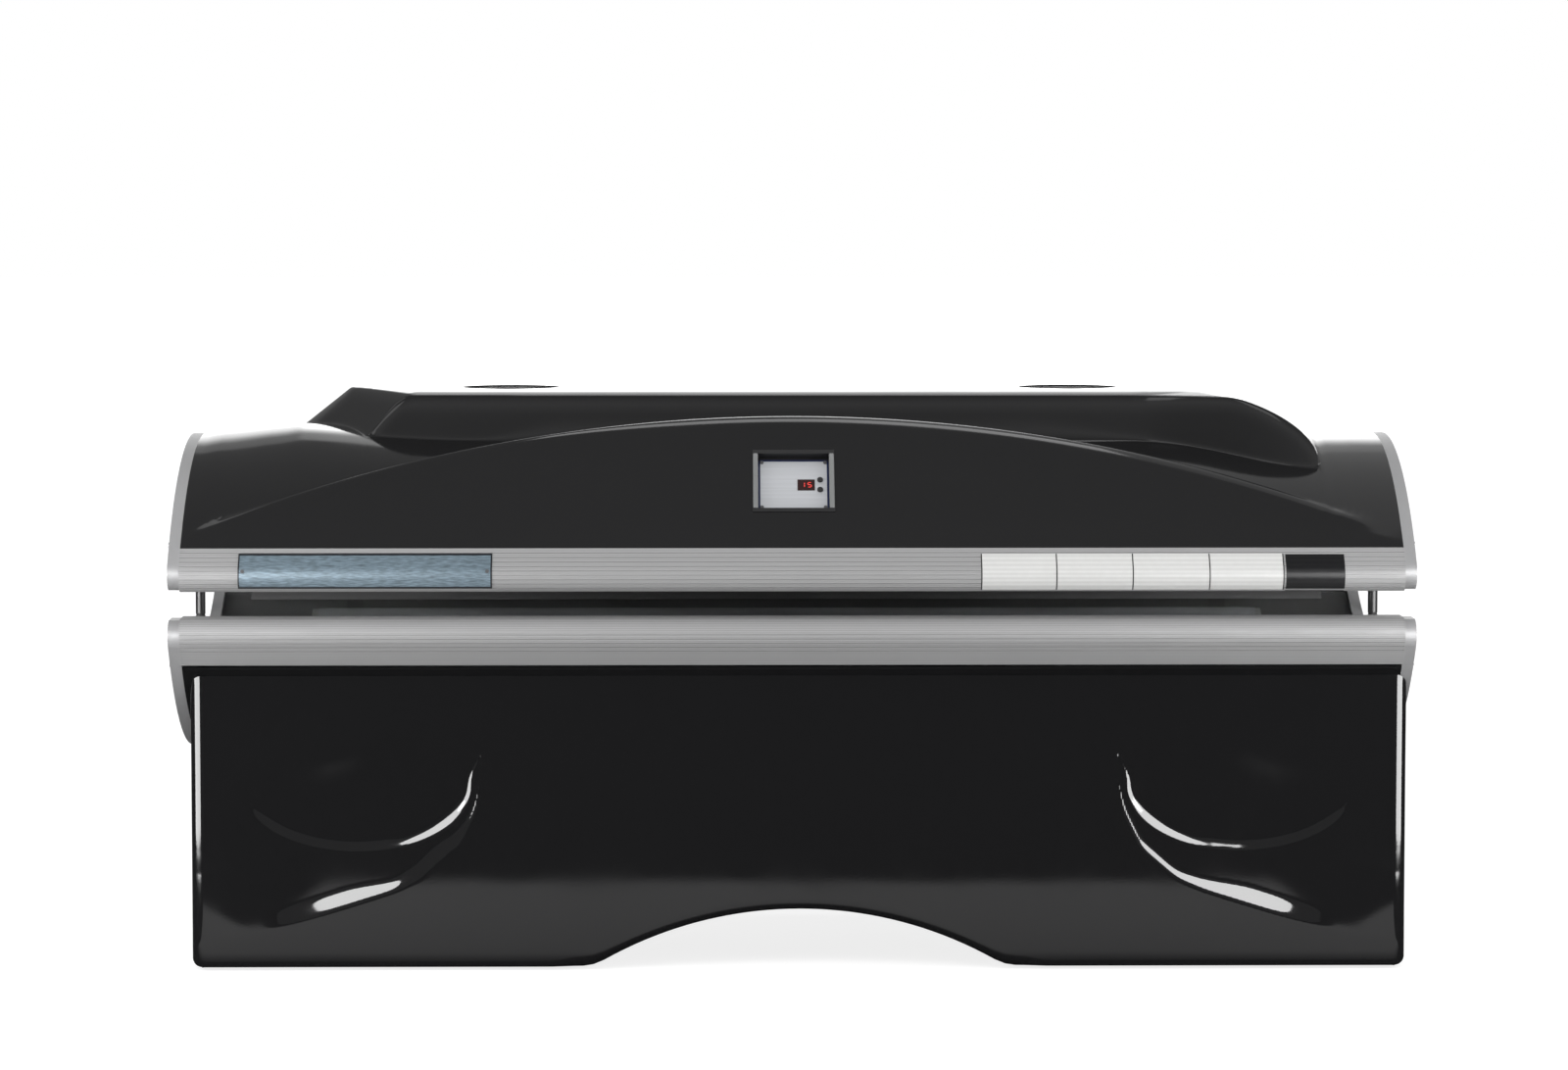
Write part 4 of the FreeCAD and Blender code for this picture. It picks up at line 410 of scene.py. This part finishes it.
NODE_FINISH = {
    "base_front_panel": "base_black",
    "base_side_panel": "base_black",
    "bench_belly_pan": "base_black",
    "canopy_shell": "shell_black",
    "bench_front_rail": "rail_silver",
    "bench_rear_rail": "rail_silver",
    "canopy_front_rail": "rail_silver",
    "canopy_rear_rail": "rail_silver",
    "bench_end_cap": "cap_silver",
    "canopy_end_cap": "cap_silver",
    "base_posts": "frame_steel",
    "base_cross_rails": "frame_steel",
    "bench_saddles": "frame_steel",
    "levelling_feet": "rubber",
    "mains": "black_plastic",
    "bench_cap_screws": "bright_steel",
    "canopy_cap_screws": "bright_steel",
    "panel_screws": "dark_steel",
    "hinge_pins": "bright_steel",
    "bench_hinge": "frame_steel",
    "canopy_hinge": "frame_steel",
    "bench_spring_studs": "bright_steel",
    "canopy_spring_studs": "bright_steel",
    "gas_spring_rod": "bright_steel",
    "gas_spring_cylinder": "black_plastic",
    "bench_acrylic": "acrylic",
    "canopy_acrylic": "acrylic",
    "bench_reflector": "reflector",
    "canopy_reflector": "reflector",
    "bench_lamps": "lamp_glass",
    "canopy_lamps": "lamp_glass",
    "bench_lampholders": "white_plastic",
    "canopy_lampholders": "white_plastic",
    "bench_ballast_tray": "zinc",
    "canopy_ballast_tray": "zinc",
    "bench_ballasts": "ballast_paint",
    "canopy_ballasts": "ballast_paint",
    "canopy_ribs": "zinc",
    "fan_guard": "black_plastic",
    "fan_housing": "black_plastic",
    "fan_rotor": "black_plastic",
    "control_bezel": "black_plastic",
    "control_plate": "plate_print",
    "display_window": "window_dark",
    "timer_board": "board_green",
    "button": "black_plastic",
    "nameplate": "nameplate_blue",
}


def finish_nodes():
    """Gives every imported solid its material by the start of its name."""
    for name, item in nodes.items():
        keys = [key for key in NODE_FINISH if name.startswith(key)]
        finish = MATERIALS[NODE_FINISH[max(keys, key=len)]]
        item.data.materials.clear()
        item.data.materials.append(finish)


# ---------------------------------------------------------------- mesh helpers

def piece_from(name, mesh, material, body):
    """Makes a bmesh an object in place, with its material, riding on a body."""
    data = bpy.data.meshes.new(name)
    mesh.to_mesh(data)
    mesh.free()
    for face in data.polygons:
        face.use_smooth = True
    data.materials.append(material)
    item = bpy.data.objects.new(name, data)
    bpy.context.scene.collection.objects.link(item)
    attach(item, body)
    return item


def moulded_sheet(places):
    """A grid whose points are moved to the places given, column by column."""
    columns, rows = places.shape[:2]
    mesh = bmesh.new()
    bmesh.ops.create_grid(mesh, x_segments=columns - 1, y_segments=rows - 1, size=1.0)
    mesh.verts.ensure_lookup_table()
    order = sorted(mesh.verts, key=lambda v: (round(v.co.x, 5), round(v.co.y, 5)))
    for vertex, place in zip(order, places.reshape(-1, 3)):
        vertex.co = Vector(place) * MM
    return mesh


def settle(item):
    """Applies a piece's modifiers to its mesh."""
    bpy.context.view_layer.update()
    evaluated = item.evaluated_get(bpy.context.evaluated_depsgraph_get())
    result = bpy.data.meshes.new_from_object(evaluated)
    item.modifiers.clear()
    old = item.data
    item.data = result
    bpy.data.meshes.remove(old)
    result.set_sharp_from_angle(angle=math.radians(50))


def thicken(item, wall):
    """Gives a sheet its wall, on the inner side."""
    modifier = item.modifiers.new("wall", "SOLIDIFY")
    modifier.thickness = wall * MM
    modifier.offset = -1.0
    settle(item)


def smooth_max(first, second, blend):
    """The higher of two surfaces, rounded where they meet."""
    share = np.clip(0.5 + 0.5 * (first - second) / blend, 0, 1)
    return first * share + second * (1 - share) + blend * share * (1 - share)


def smooth_min(first, second, blend):
    """The lower of two surfaces, rounded where they meet."""
    return -smooth_max(-first, -second, blend)


def step(value, low, high):
    """Eases from 0 at low to 1 at high."""
    share = np.clip((value - low) / (high - low), 0, 1)
    return share * share * (3 - 2 * share)


# ---------------------------------------------------------------- canopy shell

def arched_ridge(x, y):
    """Surface behind the lens face, arched along the bed and falling to the rear."""
    tangent = math.tan(LENS_SLOPE)
    sagitta = RIDGE_RISE * (1 + RIDGE_BACK / tangent)
    radius = (RIDGE_SPAN ** 2 + sagitta ** 2) / (2 * sagitta)
    ridge_y = CREASE_Y + RIDGE_RISE / tangent
    return (CREASE_Z + RIDGE_RISE - (radius - np.sqrt(radius ** 2 - x ** 2))
            - RIDGE_BACK * (y - ridge_y))


def hood_surface(x, y):
    """Raised hood: its top, raked front, swept left corner and rounded right ramp."""
    front = HOOD_FRONT - 130.0 * step(x, 600.0, 930.0)
    corner = -695.0 - 0.66 * (y - HOOD_FRONT)
    behind = np.minimum(y - front, 0.743 * (x - corner))
    dip = 12.0 * np.clip((70.0 - y) / 155.0, 0, 1) * np.clip(1 - behind / 60.0, 0, 1)
    top = HOOD_TOP - dip
    wall = HOOD_TOP - 12.0 + (y - front) * 5.9
    rear = HOOD_TOP - (y - HOOD_REAR) * 205.0 / 140.0
    facet = top + (x - corner) * 83.0 / 80.0
    end = HOOD_TOP + (x - HOOD_LEFT) * 0.79
    run = np.clip((x - HOOD_RIGHT) / 200.0, 0, 1)
    past = np.maximum(x - HOOD_RIGHT - 200.0, 0)
    ramp = HOOD_TOP - 28.0 * run - 100.0 * (1 - np.sqrt(1 - run ** 2)) - 8.0 * past
    hood = smooth_min(top, ramp, 6.0)
    hood = smooth_min(hood, wall, 34.0)
    hood = smooth_min(hood, rear, 30.0)
    hood = smooth_min(hood, end, 4.0)
    return smooth_min(hood, facet, 26.0)


def shell_height(x, y):
    """Height of the canopy's outer surface over x and y."""
    barrel = BARREL_AXIS_Z + np.sqrt(BARREL_RADIUS ** 2 - y ** 2)
    swell = np.clip((x + 1050.0) / 172.0, 0, 1) * (1 - step(x, -900.0, -560.0))
    barrel = barrel + 18.0 * swell * step(y, -300.0, 20.0) * (1 - step(y, 150.0, 300.0))
    face = CREASE_Z + (y - CREASE_Y) * math.tan(LENS_SLOPE)
    arch = arched_ridge(x, y)
    wide = 14.0 + 16.0 * step(x, -480.0, -150.0)
    bead = (0.22 * wide * np.exp(-((face - arch) / (1.7 * wide)) ** 2)
            * step(face, CREASE_Z, CREASE_Z + 30.0))
    lens = smooth_min(face, arch, wide) + bead
    body = smooth_max(barrel, lens, 6.0)
    fillet = 7.0 + 36.0 * step(x, -560.0, -400.0) * (1 - step(x, 420.0, 700.0))
    return smooth_max(body, hood_surface(x, y), fillet)


def section_rows(x, count):
    """Points of the shell's section at x, closer together where it turns."""
    reach = math.sqrt(BARREL_RADIUS ** 2 - (SHELL_BASE_Z - BARREL_AXIS_Z) ** 2)
    y = np.linspace(-reach, reach, 6000)
    z = shell_height(np.full_like(y, x), y)
    lengths = np.hypot(np.diff(y), np.diff(z))
    slopes = np.arctan2(np.diff(z), np.diff(y))
    turning = np.abs(np.diff(slopes, prepend=slopes[0]))
    weights = np.concatenate([[0], np.cumsum(lengths + 70.0 * turning)])
    spots = np.linspace(0, weights[-1], count)
    return np.interp(spots, weights, y), np.interp(spots, weights, z)


def column_places():
    """Lengthwise places of the shell's sections, closer where the hood ends."""
    spans = [(-HALF_SHELL, -890, 12), (-890, -640, 56), (-640, 640, 66),
             (640, 945, 48), (945, HALF_SHELL, 8)]
    places = []
    for start, end, count in spans:
        places.extend(np.linspace(start, end, count, endpoint=False))
    places.append(HALF_SHELL)
    return places


def cut_away(item, cutter_mesh):
    """Cuts a closed bmesh out of a piece."""
    data = bpy.data.meshes.new("cutter")
    cutter_mesh.to_mesh(data)
    cutter_mesh.free()
    cutter = bpy.data.objects.new("cutter", data)
    bpy.context.scene.collection.objects.link(cutter)
    modifier = item.modifiers.new("cut", "BOOLEAN")
    modifier.operation = "DIFFERENCE"
    modifier.object = cutter
    modifier.solver = "EXACT"
    settle(item)
    bpy.data.objects.remove(cutter)
    bpy.data.meshes.remove(data)


def lens_normal():
    """Direction straight out of the lens face."""
    return Vector((0, -math.sin(LENS_SLOPE), math.cos(LENS_SLOPE)))


def lens_matrix(lift=0.0):
    """Frame on the lens face: x right, y up the face, z out of it, in metres."""
    place = Matrix.Translation(Vector(LENS_MIDDLE) + lens_normal() * lift * MM)
    return place @ Matrix.Rotation(LENS_SLOPE, 4, "X")


def make_shell():
    """The canopy's outer skin, with openings for the fans and the control panel."""
    sections = []
    for x in column_places():
        ys, zs = section_rows(x, SHELL_ROWS)
        sections.append(np.stack([np.full(SHELL_ROWS, x), ys, zs], axis=1))
    mesh = moulded_sheet(np.array(sections))
    item = piece_from("canopy_skin", mesh, MATERIALS["shell_black"], "canopy")
    thicken(item, SHELL_WALL)
    for side in (-1, 1):
        cutter = bmesh.new()
        bmesh.ops.create_cone(cutter, cap_ends=True, segments=96, radius1=FAN_RADIUS * MM,
                              radius2=FAN_RADIUS * MM, depth=0.03)
        bmesh.ops.translate(cutter, verts=cutter.verts,
                            vec=Vector((side * FAN_X, FAN_Y, HOOD_TOP)) * MM)
        cut_away(item, cutter)
    cutter = bmesh.new()
    bmesh.ops.create_cube(cutter, size=1.0)
    bmesh.ops.scale(cutter, verts=cutter.verts, vec=PLATE_OPENING)
    bmesh.ops.transform(cutter, verts=cutter.verts, matrix=lens_matrix())
    cut_away(item, cutter)
    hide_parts("canopy_shell")


# ---------------------------------------------------------------- base front panel

def rim_distance(u, z):
    """Signed distance from the scoop's outer rim, positive inside it."""
    spots = np.linspace(0, len(RIM_U) - 1, 160)
    kernel = np.hanning(15) / np.hanning(15).sum()
    rims = []
    for knots in (RIM_U, RIM_Z):
        line = np.interp(spots, np.arange(len(knots)), np.array(knots))
        padded = np.pad(line, 7, mode="reflect", reflect_type="odd")
        rims.append(np.convolve(padded, kernel, "valid"))
    rim_u, rim_z = rims
    nearest = np.full(u.shape, 1e9)
    inside = np.zeros(u.shape)
    for index in range(len(rim_u) - 1):
        du = rim_u[index + 1] - rim_u[index]
        dz = rim_z[index + 1] - rim_z[index]
        length = math.hypot(du, dz)
        along = np.clip(((u - rim_u[index]) * du + (z - rim_z[index]) * dz) / length ** 2, 0, 1)
        away_u = u - rim_u[index] - along * du
        away_z = z - rim_z[index] - along * dz
        distance = np.hypot(away_u, away_z)
        closer = distance < nearest
        nearest = np.where(closer, distance, nearest)
        side = du * away_z - dz * away_u
        inside = np.where(closer, np.sign(side), inside)
    return nearest * inside


def ledge_depth(x, u, z):
    """The scoop's outer ledge: a wall inside the rim that becomes a long ramp."""
    inside = rim_distance(u, z)
    soft = np.maximum(0.5 * (inside + np.sqrt(inside ** 2 + 6.0)) - 0.4, 0)
    tip = 1 - step(u, 570.0, 610.0)
    deep = step(u, 640.0, 720.0)
    end = step(u, 815.0, 940.0)
    slope = 0.12 + 0.43 * tip + 0.2 * deep + 0.33 * (x > 0) * (1 - deep) * (1 - tip)
    rise = np.clip((z - 210.0) / 230.0, 0, 1)
    lower = 1 - 0.425 * rise - 0.575 * rise ** 2
    limit = 3.8 + 1.6 * deep + 3.6 * step(u, 690.0, 800.0)
    wall = smooth_min(slope * soft / np.maximum(lower, 0.3), limit, 1.2)
    ramp = 0.042 * np.minimum(soft, 120.0)
    ledge = wall * (1 - end) + ramp * end
    ledge = ledge * (1 - 0.5 * step(u, 960.0, 1050.0)) * (1 - step(-inside, 2.0, 12.0))
    return ledge * lower


def dish_depth(u, z):
    """The scoop's oval dish, whose inner edge runs up into the tip."""
    over = np.clip(z - DISH_Z, 0, 90.0)
    half = np.where(z > DISH_Z, DISH_HALF_HIGH, DISH_HALF_LOW)
    across = (u - DISH_U + 0.0097 * over ** 2) / DISH_HALF_U
    up = (z - DISH_Z) / half
    reach = np.maximum(np.hypot(across, up), 0.05)
    size = np.hypot(across / DISH_HALF_U, up / half)
    from_edge = np.maximum((1 - reach) * reach / size, 0)
    floor = 3.0 + 3.0 * (1 - step(u, 590.0, 730.0))
    wall = (0.42 - 0.22 * step(u, 675.0, 725.0) + 0.15 * step(z, 285.0, 315.0)) * from_edge
    fade = 1 - step((z - DISH_Z) / DISH_HALF_LOW + 0.55 * across, -0.1, 0.95)
    fade = fade * (1 - step(z, 262.0, 420.0) * (1 - step(u, 590.0, 690.0)))
    near = np.where(u < 690.0, np.maximum(fade, 0.3), 1.0)
    return np.maximum(smooth_min(wall / near, floor, 1.2), 0) * fade


def scoop_depth(x, z):
    """How far the panel's face is pressed in: a sloping ledge with a dish above it."""
    u = np.abs(x)
    return ledge_depth(x, u, z) + dish_depth(u, z)


def panel_columns():
    """Places round the panel's plan: x, y, outward normal, and bottom edge radius."""
    inner = BASE_HALF - BASE_CORNER
    spans = [(-inner, -740, 50), (-740, -540, 64), (-540, 540, 60), (540, 740, 64),
             (740, inner, 51)]
    columns = []
    for y in np.linspace(BASE_BACK, BASE_FRONT + BASE_CORNER, 4, endpoint=False):
        columns.append((-BASE_HALF, y, -1.0, 0.0, BASE_EDGE))
    for angle in np.linspace(0, math.pi / 2, 9, endpoint=False):
        columns.append((-inner - BASE_CORNER * math.cos(angle),
                        BASE_FRONT + BASE_CORNER - BASE_CORNER * math.sin(angle),
                        -math.cos(angle), -math.sin(angle), BASE_EDGE - 6.0 * angle))
    end_columns = list(reversed(columns))
    for start, end, count in spans:
        for x in np.linspace(start, end, count, endpoint=(end == inner)):
            radius = 6.0 + 10.0 * float(1 - step(np.array(abs(x)), 380.0, 440.0))
            columns.append((x, BASE_FRONT, 0.0, -1.0, radius))
    for x, y, normal_x, normal_y, radius in end_columns:
        columns.append((-x, y, -normal_x, normal_y, radius))
    return columns


def make_base_panel():
    """The base's moulded front: rounded ends, a toe arch and two scoops."""
    arch_radius = (ARCH_HALF ** 2 + ARCH_HEIGHT ** 2) / (2 * ARCH_HEIGHT)
    heights = np.concatenate([np.linspace(0, 0.06, 6, endpoint=False),
                              np.linspace(0.06, 0.86, 116, endpoint=False),
                              np.linspace(0.86, 1, 7)])
    face_rows = len(heights)
    lip = np.linspace(0, math.pi / 2, 7)
    places = []
    for x, y, normal_x, normal_y, radius in panel_columns():
        drop = ARCH_HEIGHT - (arch_radius - math.sqrt(arch_radius ** 2 - min(abs(x), 500) ** 2))
        low = float(smooth_max(np.array(drop), np.array(BASE_LOW), 12.0))
        top = min(BASE_TOP, BELLY_AXIS_Z - math.sqrt(BELLY_RADIUS ** 2 - y ** 2))
        z = low + radius + heights * (top - low - radius)
        depth = scoop_depth(np.full(face_rows, x), z) * abs(normal_y)
        face = np.stack([x - normal_x * depth, y - normal_y * depth, z], axis=1)
        inset = radius * (1 - np.cos(lip[1:]))
        roll = np.stack([x - normal_x * inset, y - normal_y * inset,
                         low + radius * (1 - np.sin(lip[1:]))], axis=1)
        flange_y = np.maximum(roll[-1, 1], np.array([BASE_FRONT + BASE_FLANGE, BASE_BACK]))
        flange = np.stack([np.full(2, roll[-1, 0]), flange_y, np.full(2, low)], axis=1)
        places.append(np.concatenate([flange[::-1], roll[::-1], face]))
    mesh = moulded_sheet(np.array(places) + np.array([BASE_OFFSET, 0.0, 0.0]))
    item = piece_from("base_panel_skin", mesh, MATERIALS["base_black"], "bench")
    thicken(item, BASE_WALL)
    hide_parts("base_front_panel")


# ---------------------------------------------------------------- labels and display

def rail_face(z, lift):
    """The canopy rail's face at a height: its y, moved out by a lift."""
    if z >= NOSE_END_Z:
        centre_y, centre_z, radius = 0.0, BARREL_AXIS_Z, BARREL_RADIUS
    else:
        centre_y, centre_z, radius = NOSE_Y, NOSE_Z, NOSE_RADIUS
    reach = math.sqrt(radius ** 2 - (z - centre_z) ** 2)
    return (centre_y - reach * (1 + lift / radius), z + lift * (z - centre_z) / radius)


def make_label(name, start, end, low, high, material):
    """A thin film that follows the face of the canopy's front rail."""
    columns = []
    for x in np.linspace(start, end, 13):
        column = []
        for z in np.linspace(low, high, 12):
            y, height = rail_face(z, FILM_LIFT)
            column.append((x, y, height))
        columns.append(column)
    item = piece_from(name, moulded_sheet(np.array(columns)), MATERIALS[material], "canopy")
    thicken(item, FILM_WALL)


def lens_height(name):
    """How far a node stands out from the lens face, in millimetres."""
    middle, normal = Vector(LENS_MIDDLE), lens_normal()
    return max((v.co - middle).dot(normal) for v in nodes[name].data.vertices) / MM


SEGMENT_PLACES = {"a": (0, 5, 0), "b": (3, 2.5, 1), "c": (3, -2.5, 1), "d": (0, -5, 0),
                  "e": (-3, -2.5, 1), "f": (-3, 2.5, 1), "g": (0, 0, 0)}
LIT_SEGMENTS = ("bc", "acdfg")


def make_digits():
    """Two lit figures on the display, each of short raised bars."""
    mesh = bmesh.new()
    lift = lens_height("display_window")
    for place, lit in zip((-6.0, 6.0), LIT_SEGMENTS):
        for segment in lit:
            x, y, upright = SEGMENT_PLACES[segment]
            made = bmesh.ops.create_cube(mesh, size=1.0)["verts"]
            size = (1.5, 3.9, 0.3) if upright else (4.9, 1.5, 0.3)
            bmesh.ops.scale(mesh, verts=made, vec=Vector(size) * MM)
            bmesh.ops.translate(mesh, verts=made,
                                vec=Vector((DISPLAY_X + place + x, y, 0.1)) * MM)
    bmesh.ops.bevel(mesh, geom=mesh.edges[:], offset=0.0001, offset_type="OFFSET", segments=1,
                    profile=0.5, affect="EDGES", material=-1)
    bmesh.ops.transform(mesh, verts=mesh.verts, matrix=lens_matrix(lift))
    piece_from("display_digits", mesh, MATERIALS["segment_red"], "canopy")


def make_bezel_beads():
    """Two rounded ribs down the sides of the panel's bezel, whose light grey is a painted highlight
    on the black bezel's side edges.
    """
    mesh = bmesh.new()
    lift = lens_height("control_bezel")
    for side in (-1, 1):
        made = bmesh.ops.create_cube(mesh, size=1.0)["verts"]
        bmesh.ops.scale(mesh, verts=made, vec=(0.009, 0.122, 0.006))
        bmesh.ops.translate(mesh, verts=made, vec=Vector((side * BEAD_X, 0, -1.2)) * MM)
    bmesh.ops.bevel(mesh, geom=mesh.edges[:], offset=0.0026, offset_type="OFFSET", segments=6,
                    profile=0.5, affect="EDGES", material=-1)
    bmesh.ops.transform(mesh, verts=mesh.verts, matrix=lens_matrix(lift))
    piece_from("bezel_beads", mesh, MATERIALS["bead_painted_highlight"], "canopy")


def make_labels():
    """The blank films on the canopy's front rail: four pale fields and a dark one."""
    make_label("label_white", 325.0, 850.0, 671.0, 732.0, "label_white")
    make_label("label_black", 853.0, 955.0, 668.0, 731.0, "label_black")


# ---------------------------------------------------------------- rubber parts

def make_edge_strip(name, side):
    """Rubber strip that holds the long edge of the bench's acrylic."""
    section = []
    for y in np.linspace(STRIP_INNER, STRIP_OUTER, 8):
        base = BENCH_AXIS_Z - math.sqrt(BENCH_RADIUS ** 2 - y ** 2)
        section.append((side * y, base + 3.4 - 3.0 * math.exp((STRIP_INNER - y) / 2.0)))
    columns = [[(x, y, z) for y, z in section]
               for x in np.linspace(-STRIP_HALF, STRIP_HALF, 41)]
    item = piece_from(name, moulded_sheet(np.array(columns)),
                      MATERIALS["strip_grey"], "bench")
    if side < 0:
        item.data.flip_normals()
    thicken(item, STRIP_WALL)


def make_boot(name, side):
    """Rubber boot round the neck of a gas spring."""
    mesh = bmesh.new()
    points = [mesh.verts.new(Vector((radius, 0, z)) * MM) for radius, z in BOOT_PROFILE]
    edges = [mesh.edges.new(pair) for pair in zip(points, points[1:])]
    bmesh.ops.spin(mesh, geom=points + edges, cent=(0, 0, 0), axis=(0, 0, 1),
                   angle=2 * math.pi, steps=40, use_merge=True)
    bmesh.ops.translate(mesh, verts=mesh.verts, vec=Vector((side * SPRING_X, SPRING_Y, 0)) * MM)
    bmesh.ops.recalc_face_normals(mesh, faces=mesh.faces)
    body = "gas_spring_cylinder_" + ("left" if side < 0 else "right")
    piece_from(name, mesh, MATERIALS["rubber"], body)


def make_rubber_parts():
    """A strip on each long edge of the acrylic and a boot on each gas spring."""
    for side, end, long_edge in ((-1, "left", "front"), (1, "right", "rear")):
        make_edge_strip("acrylic_strip_" + long_edge, side)
        make_boot("spring_boot_" + end, side)


# ---------------------------------------------------------------- studio

def aim(item, target):
    """Turns a lamp or camera towards a place."""
    direction = Vector(target) - item.location
    item.rotation_euler = direction.to_track_quat("-Z", "Y").to_euler()


def add_area(name, place, target, width, height, power, glossy):
    """A rectangular lamp that is seen in gloss only, or that lights surfaces only."""
    data = bpy.data.lights.new(name, "AREA")
    data.shape = "RECTANGLE"
    data.size = width
    data.size_y = height
    data.energy = power
    lamp = bpy.data.objects.new(name, data)
    bpy.context.scene.collection.objects.link(lamp)
    lamp.location = place
    aim(lamp, target)
    lamp.visible_camera = False
    lamp.visible_glossy = glossy
    lamp.visible_diffuse = not glossy


def make_floor():
    """Pale floor that keeps the shadow; to gloss its colour is dark close to the bed as a painted
    contact shadow, and dark again past a painted lit strip before the bed.
    """
    mesh = bmesh.new()
    bmesh.ops.create_grid(mesh, x_segments=1, y_segments=1, size=60.0)
    data = bpy.data.meshes.new("studio_floor")
    mesh.to_mesh(data)
    mesh.free()
    floor = bpy.data.objects.new("studio_floor", data)
    bpy.context.scene.collection.objects.link(floor)
    material, tree, shader = new_material("floor_paper", (0.85, 0.85, 0.85), 0.9)
    shader.inputs["Specular IOR Level"].default_value = 0.0
    across, depth, _ = split(tree, object_place(tree))
    path = add_node(tree, "ShaderNodeLightPath")
    # painted shade for gloss: a contact shadow near the bed, and dark outside a painted lit strip
    far = combine(tree, spread(tree, depth, 1.0, 0.0, -1.55, -1.42),
                  spread(tree, depth, 0.0, 1.0, -0.6, -0.48), "MAXIMUM")
    far = combine(tree, far, beyond(tree, across, 1.3), "MAXIMUM")
    gloss_painted_shade = combine(tree, far, path.outputs["Is Glossy Ray"])
    tree.links.new(mix_colours(tree, gloss_painted_shade, (0.78,) * 3, (0.03,) * 3),
                   shader.inputs["Base Color"])
    glow = add_node(tree, "ShaderNodeEmission")
    glow.inputs["Strength"].default_value = 1.45
    blend = add_node(tree, "ShaderNodeMixShader")
    share = combine(tree, path.outputs["Is Camera Ray"], 0.55)
    tree.links.new(share, blend.inputs["Fac"])
    tree.links.new(shader.outputs["BSDF"], blend.inputs[1])
    tree.links.new(glow.outputs["Emission"], blend.inputs[2])
    tree.links.new(blend.outputs["Shader"], tree.nodes["Material Output"].inputs["Surface"])
    data.materials.append(material)


def window(tree, value, low, high, soft):
    """1 between two limits, fading to 0 beyond them."""
    return combine(tree, spread(tree, value, 0.0, 1.0, low - soft, low),
                   spread(tree, value, 1.0, 0.0, high, high + soft))


def softbox(tree, parts, across, depth, height, soft, strength):
    """A lit patch of the surroundings, between limits of its direction."""
    lit = combine(tree, window(tree, parts[0], *across, soft), window(tree, parts[1], *depth, soft))
    lit = combine(tree, lit, window(tree, parts[2], *height, soft))
    return combine(tree, lit, strength)


SOFTBOXES = [
    ((0.05, 1.0), (0.02, 1.0), (0.5, 1.0), 0.06, 0.55),
    ((-0.6, -0.34), (-0.8, -0.4), (0.56, 0.72), 0.04, 1.6),
]


def make_world():
    """White for the camera; for gloss a lit sweep behind the bed, softboxes and a dim room."""
    world = bpy.data.worlds.new("studio")
    bpy.context.scene.world = world
    world.use_nodes = True
    tree = world.node_tree
    background = tree.nodes["Background"]
    coordinates = add_node(tree, "ShaderNodeTexCoord")
    parts = split(tree, coordinates.outputs["Generated"])
    across, depth, height = parts
    behind = spread(tree, depth, 0.0, 1.0, 0.0, 0.1)
    edge = spread(tree, height, 1.0, 0.0, 0.6, 0.63)
    glow = spread(tree, height, 4.0, 1.0, 0.36, 0.5)
    middle = combine(tree, spread(tree, across, 0.06, 1.0, -0.2, -0.05),
                     spread(tree, across, 1.0, 0.35, 0.08, 0.2))
    seen = combine(tree, combine(tree, behind, edge), combine(tree, glow, middle))
    front = spread(tree, depth, 1.0, 0.0, -0.3, -0.1)
    rise = combine(tree, spread(tree, height, 0.02, 0.5, 0.1, 0.42),
                   spread(tree, height, 1.0, 0.3, 0.45, 0.8))
    seen = combine(tree, seen, combine(tree, front, rise), "MAXIMUM")
    seen = combine(tree, seen, 0.2, "MAXIMUM")
    for box in SOFTBOXES:
        seen = combine(tree, seen, softbox(tree, parts, *box), "MAXIMUM")
    path = add_node(tree, "ShaderNodeLightPath")
    gloss = add_node(tree, "ShaderNodeMix", data_type="FLOAT")
    gloss.inputs["A"].default_value = 0.75
    tree.links.new(path.outputs["Is Glossy Ray"], gloss.inputs["Factor"])
    tree.links.new(seen, gloss.inputs["B"])
    direct = add_node(tree, "ShaderNodeMix", data_type="FLOAT")
    direct.inputs["B"].default_value = 1.0
    tree.links.new(path.outputs["Is Camera Ray"], direct.inputs["Factor"])
    tree.links.new(gloss.outputs["Result"], direct.inputs["A"])
    tree.links.new(direct.outputs["Result"], background.inputs["Strength"])
    background.inputs["Color"].default_value = (1, 1, 1, 1)


def make_camera():
    """A level view of the front from standing height, through a long lens."""
    data = bpy.data.cameras.new("camera")
    data.sensor_width = 36.0
    data.lens = 113.4
    camera = bpy.data.objects.new("camera", data)
    bpy.context.scene.collection.objects.link(camera)
    camera.location = (-0.124, -8.95, 1.38)
    aim(camera, (-0.0157, -0.45, 0.767))
    bpy.context.scene.camera = camera


def make_studio():
    """Floor, surroundings, camera, soft key and fills, and softboxes for the gloss."""
    make_floor()
    make_world()
    make_camera()
    add_area("key", (-1.5, -5.0, 4.5), (0, 0, 0.5), 3.0, 2.0, 120.0, False)
    add_area("overhead", (0.1, 0.06, 2.1), (0.1, 0.06, 1.0), 1.3, 0.45, 5.0, True)
    add_area("overhead_left", (-1.6, 0.06, 2.1), (-1.6, 0.06, 1.0), 0.7, 0.45, 0.9, True)
    for side, name in ((-1, "left"), (1, "right")):
        add_area(name + "_fill", (side * 3.2, -2.2, 1.2), (side * 0.9, -0.4, 0.6), 0.35, 2.2,
                 40.0, False)
        add_area(name + "_screen", (side * 2.2, -1.25, 0.45), (side * 1.05, -0.39, 0.45), 1.4,
                 0.88, 60.0, True)
        height = 0.42 if side < 0 else 0.55
        add_area(name + "_softbox", (side * 1.33, -1.48, 0.98 - 0.4 * height),
                 (side * 0.7, -0.4, 0.16), 0.8, height, 39.0 * height, True)


finish_nodes()
make_shell()
make_base_panel()
make_labels()
make_digits()
make_bezel_beads()
make_rubber_parts()
make_studio()

bpy.context.scene.view_settings.view_transform = "Standard"
